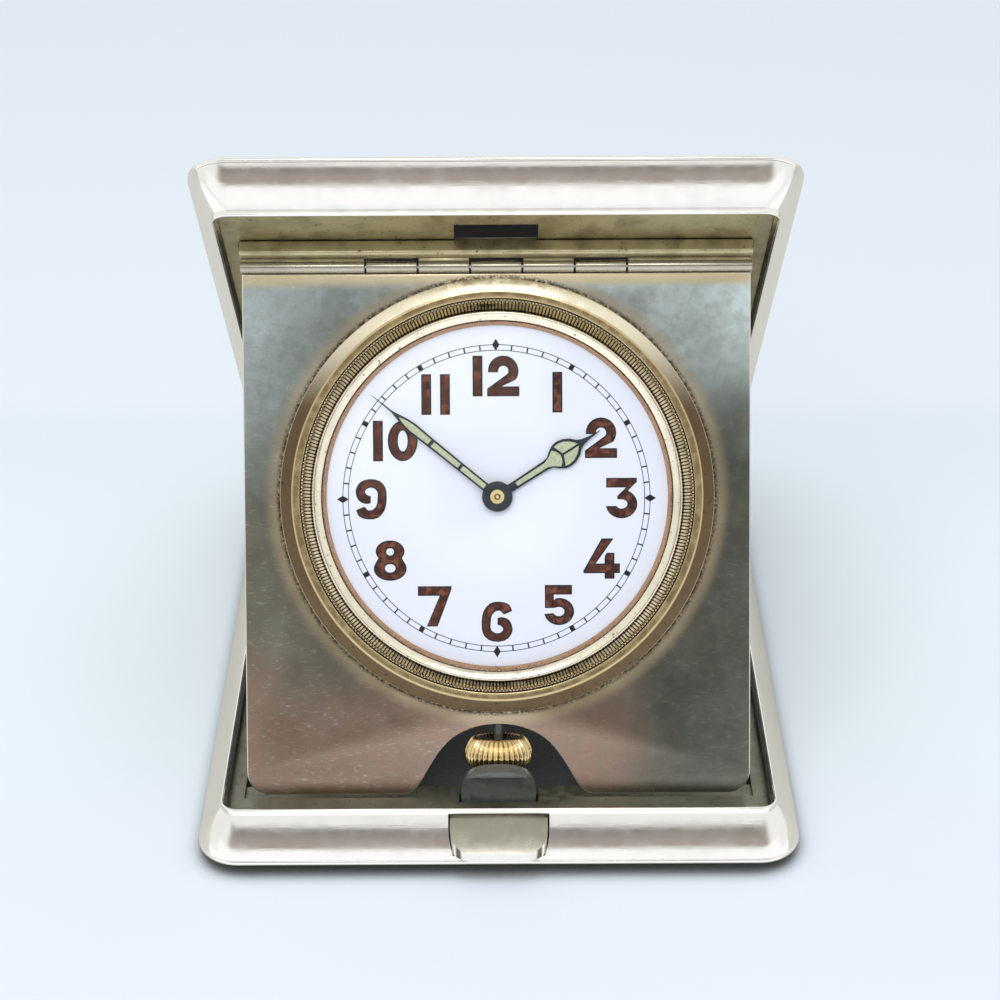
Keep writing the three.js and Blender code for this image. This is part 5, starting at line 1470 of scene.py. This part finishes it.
class CLOCK_OT_movement_case(bpy.types.Operator):
    """Turn the movement's case, its back cover and the tube for the winding stem"""
    bl_idname = "clock.movement_case"
    bl_label = "Movement Case"

    def execute(self, context):
        gilt = finishes(context)["gilt"]
        drum = eased(scaled([(23.4, -5.9), (24.1, -5.9), (24.1, -1.0), (25.2, -1.0), (25.2, -0.5),
                             (23.4, -0.5)]), 0.12 * MM)
        mesh = turned("movement_drum", drum, 144)
        hole = turned("hole", scaled([(0, 20), (1.45, 20), (1.45, 30), (0, 30)]), 32)
        hole.transform(STEM)
        piece = placed("movement_drum", cut(mesh, hole), CLOCK, gilt, "clock")
        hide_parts("movement_case")
        cover = eased(scaled([(0, -6.52), (14, -6.5), (23.3, -6.5), (24.1, -6.36), (24.1, -6.0),
                              (23.3, -6.0), (23.3, -5.2), (22.7, -5.2), (22.7, -6.0), (0, -6.0)]), 0.1 * MM)
        piece = placed("movement_cover", turned("movement_cover", cover, 144), CLOCK, gilt,
                       "clock")
        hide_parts("back_cover")
        tube = eased(scaled([(0.7, 23.3), (1.35, 23.3), (1.35, 27.5), (0.7, 27.5)]), 0.1 * MM)
        mesh = turned("stem_tube", tube, 40)
        mesh.transform(STEM)
        piece = placed("stem_tube", mesh, CLOCK, gilt, "clock")
        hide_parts("pendant_tube")
        return {"FINISHED"}


CROWN_FLUTES = 36
FLUTE_STEPS = 6
FLUTE_DEPTH = 0.3 * MM


class CLOCK_OT_crown(bpy.types.Operator):
    """Turn the onion-shaped crown and cut its flutes"""
    bl_idname = "clock.crown"
    bl_label = "Crown"

    def execute(self, context):
        length, radius = 3.9 * MM, 4.3 * MM
        side = [(0.66, 0.0), (0.70, 0.0), (0.76, 0.02), (0.81, 0.07), (0.87, 0.15), (0.93, 0.27),
                (0.975, 0.41), (1.0, 0.57), (0.985, 0.70), (0.93, 0.81), (0.84, 0.89), (0.66, 0.95),
                (0.35, 0.98), (0.0, 1.0)]
        profile = [(0.0, 0.26), (0.3, 0.24), (0.58, 0.14)] + side
        points = [(radius * r, CROWN_START + length * z) for r, z in profile]

        def wave(turn, i):
            reach = profile[i][0]
            if i < 3 or reach < 0.6:
                return (0, 0)
            phase = 2 * math.pi * turn / FLUTE_STEPS
            depth = FLUTE_DEPTH * min((reach - 0.6) / 0.2, 1)
            return (-depth * (1 - abs(math.sin(phase / 2))), 0)

        mesh = turned("onion_crown", points, CROWN_FLUTES * FLUTE_STEPS, wave)
        mesh.transform(STEM)
        piece = placed("onion_crown", mesh, CLOCK, finishes(context)["bright_gilt"], "winder",
                       sharp=60)
        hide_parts("crown")
        return {"FINISHED"}


WORKS = {
    "brass": ("main_plate", "mainspring_barrel", "centre_wheel", "third_wheel", "fourth_wheel",
              "balance_wheel", "barrel_bridge", "train_bridge", "balance_cock", "cannon_pinion",
              "minute_wheel", "hour_wheel"),
    "steel": ("escape_wheel", "pallet_fork", "ratchet_wheel", "crown_wheel", "click",
              "winding_pinion"),
    "black_steel": ("winding_stem",),
    "blued_steel": ("hairspring", "barrel_bridge_screw_1", "barrel_bridge_screw_2",
                    "train_bridge_screw_1", "train_bridge_screw_2", "balance_cock_screw",
                    "crown_wheel_screw"),
}


class CLOCK_OT_works(bpy.types.Operator):
    """Finish the wheels, bridges and screws inside the movement's case"""
    bl_idname = "clock.works"
    bl_label = "Movement Works"

    def execute(self, context):
        looks = finishes(context)
        for finish, nodes in WORKS.items():
            for node in nodes:
                dress(node, looks[finish])
        return {"FINISHED"}


class CLOCK_PT_panel(bpy.types.Panel):
    """Lists the pieces of the clock"""
    bl_idname = "CLOCK_PT_panel"
    bl_label = "Travel Clock"
    bl_space_type = "VIEW_3D"
    bl_region_type = "UI"
    bl_category = "Clock"

    def draw(self, context):
        for operator in OPERATORS:
            self.layout.operator(operator.bl_idname)
        for group in (context.scene.clock_sizes, context.scene.clock_colours, context.scene.clock_camera):
            for name in group.bl_rna.properties.keys():
                if name not in ("rna_type", "name"):
                    self.layout.prop(group, name)


OPERATORS = (
    CLOCK_OT_stage, CLOCK_OT_case_shells, CLOCK_OT_lining, CLOCK_OT_liners, CLOCK_OT_case_hinge,
    CLOCK_OT_plate_hinge, CLOCK_OT_button, CLOCK_OT_catch, CLOCK_OT_plate, CLOCK_OT_bezel,
    CLOCK_OT_crystal, CLOCK_OT_dial, CLOCK_OT_numerals, CLOCK_OT_hands, CLOCK_OT_movement_case,
    CLOCK_OT_crown, CLOCK_OT_works,
)
GROUPS = {"clock_sizes": ClockSizes, "clock_colours": ClockColours, "clock_camera": ClockCamera}


def register():
    for item in (*GROUPS.values(), *OPERATORS, CLOCK_PT_panel):
        bpy.utils.register_class(item)
    for name, group in GROUPS.items():
        setattr(bpy.types.Scene, name, PointerProperty(type=group))


def unregister():
    for name in GROUPS:
        delattr(bpy.types.Scene, name)
    for item in (CLOCK_PT_panel, *reversed(OPERATORS), *GROUPS.values()):
        bpy.utils.unregister_class(item)


def main():
    """Registers the add-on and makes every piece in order."""
    register()
    for operator in OPERATORS:
        group, name = operator.bl_idname.split(".")
        getattr(getattr(bpy.ops, group), name)()


if __name__ == "__main__":
    main()
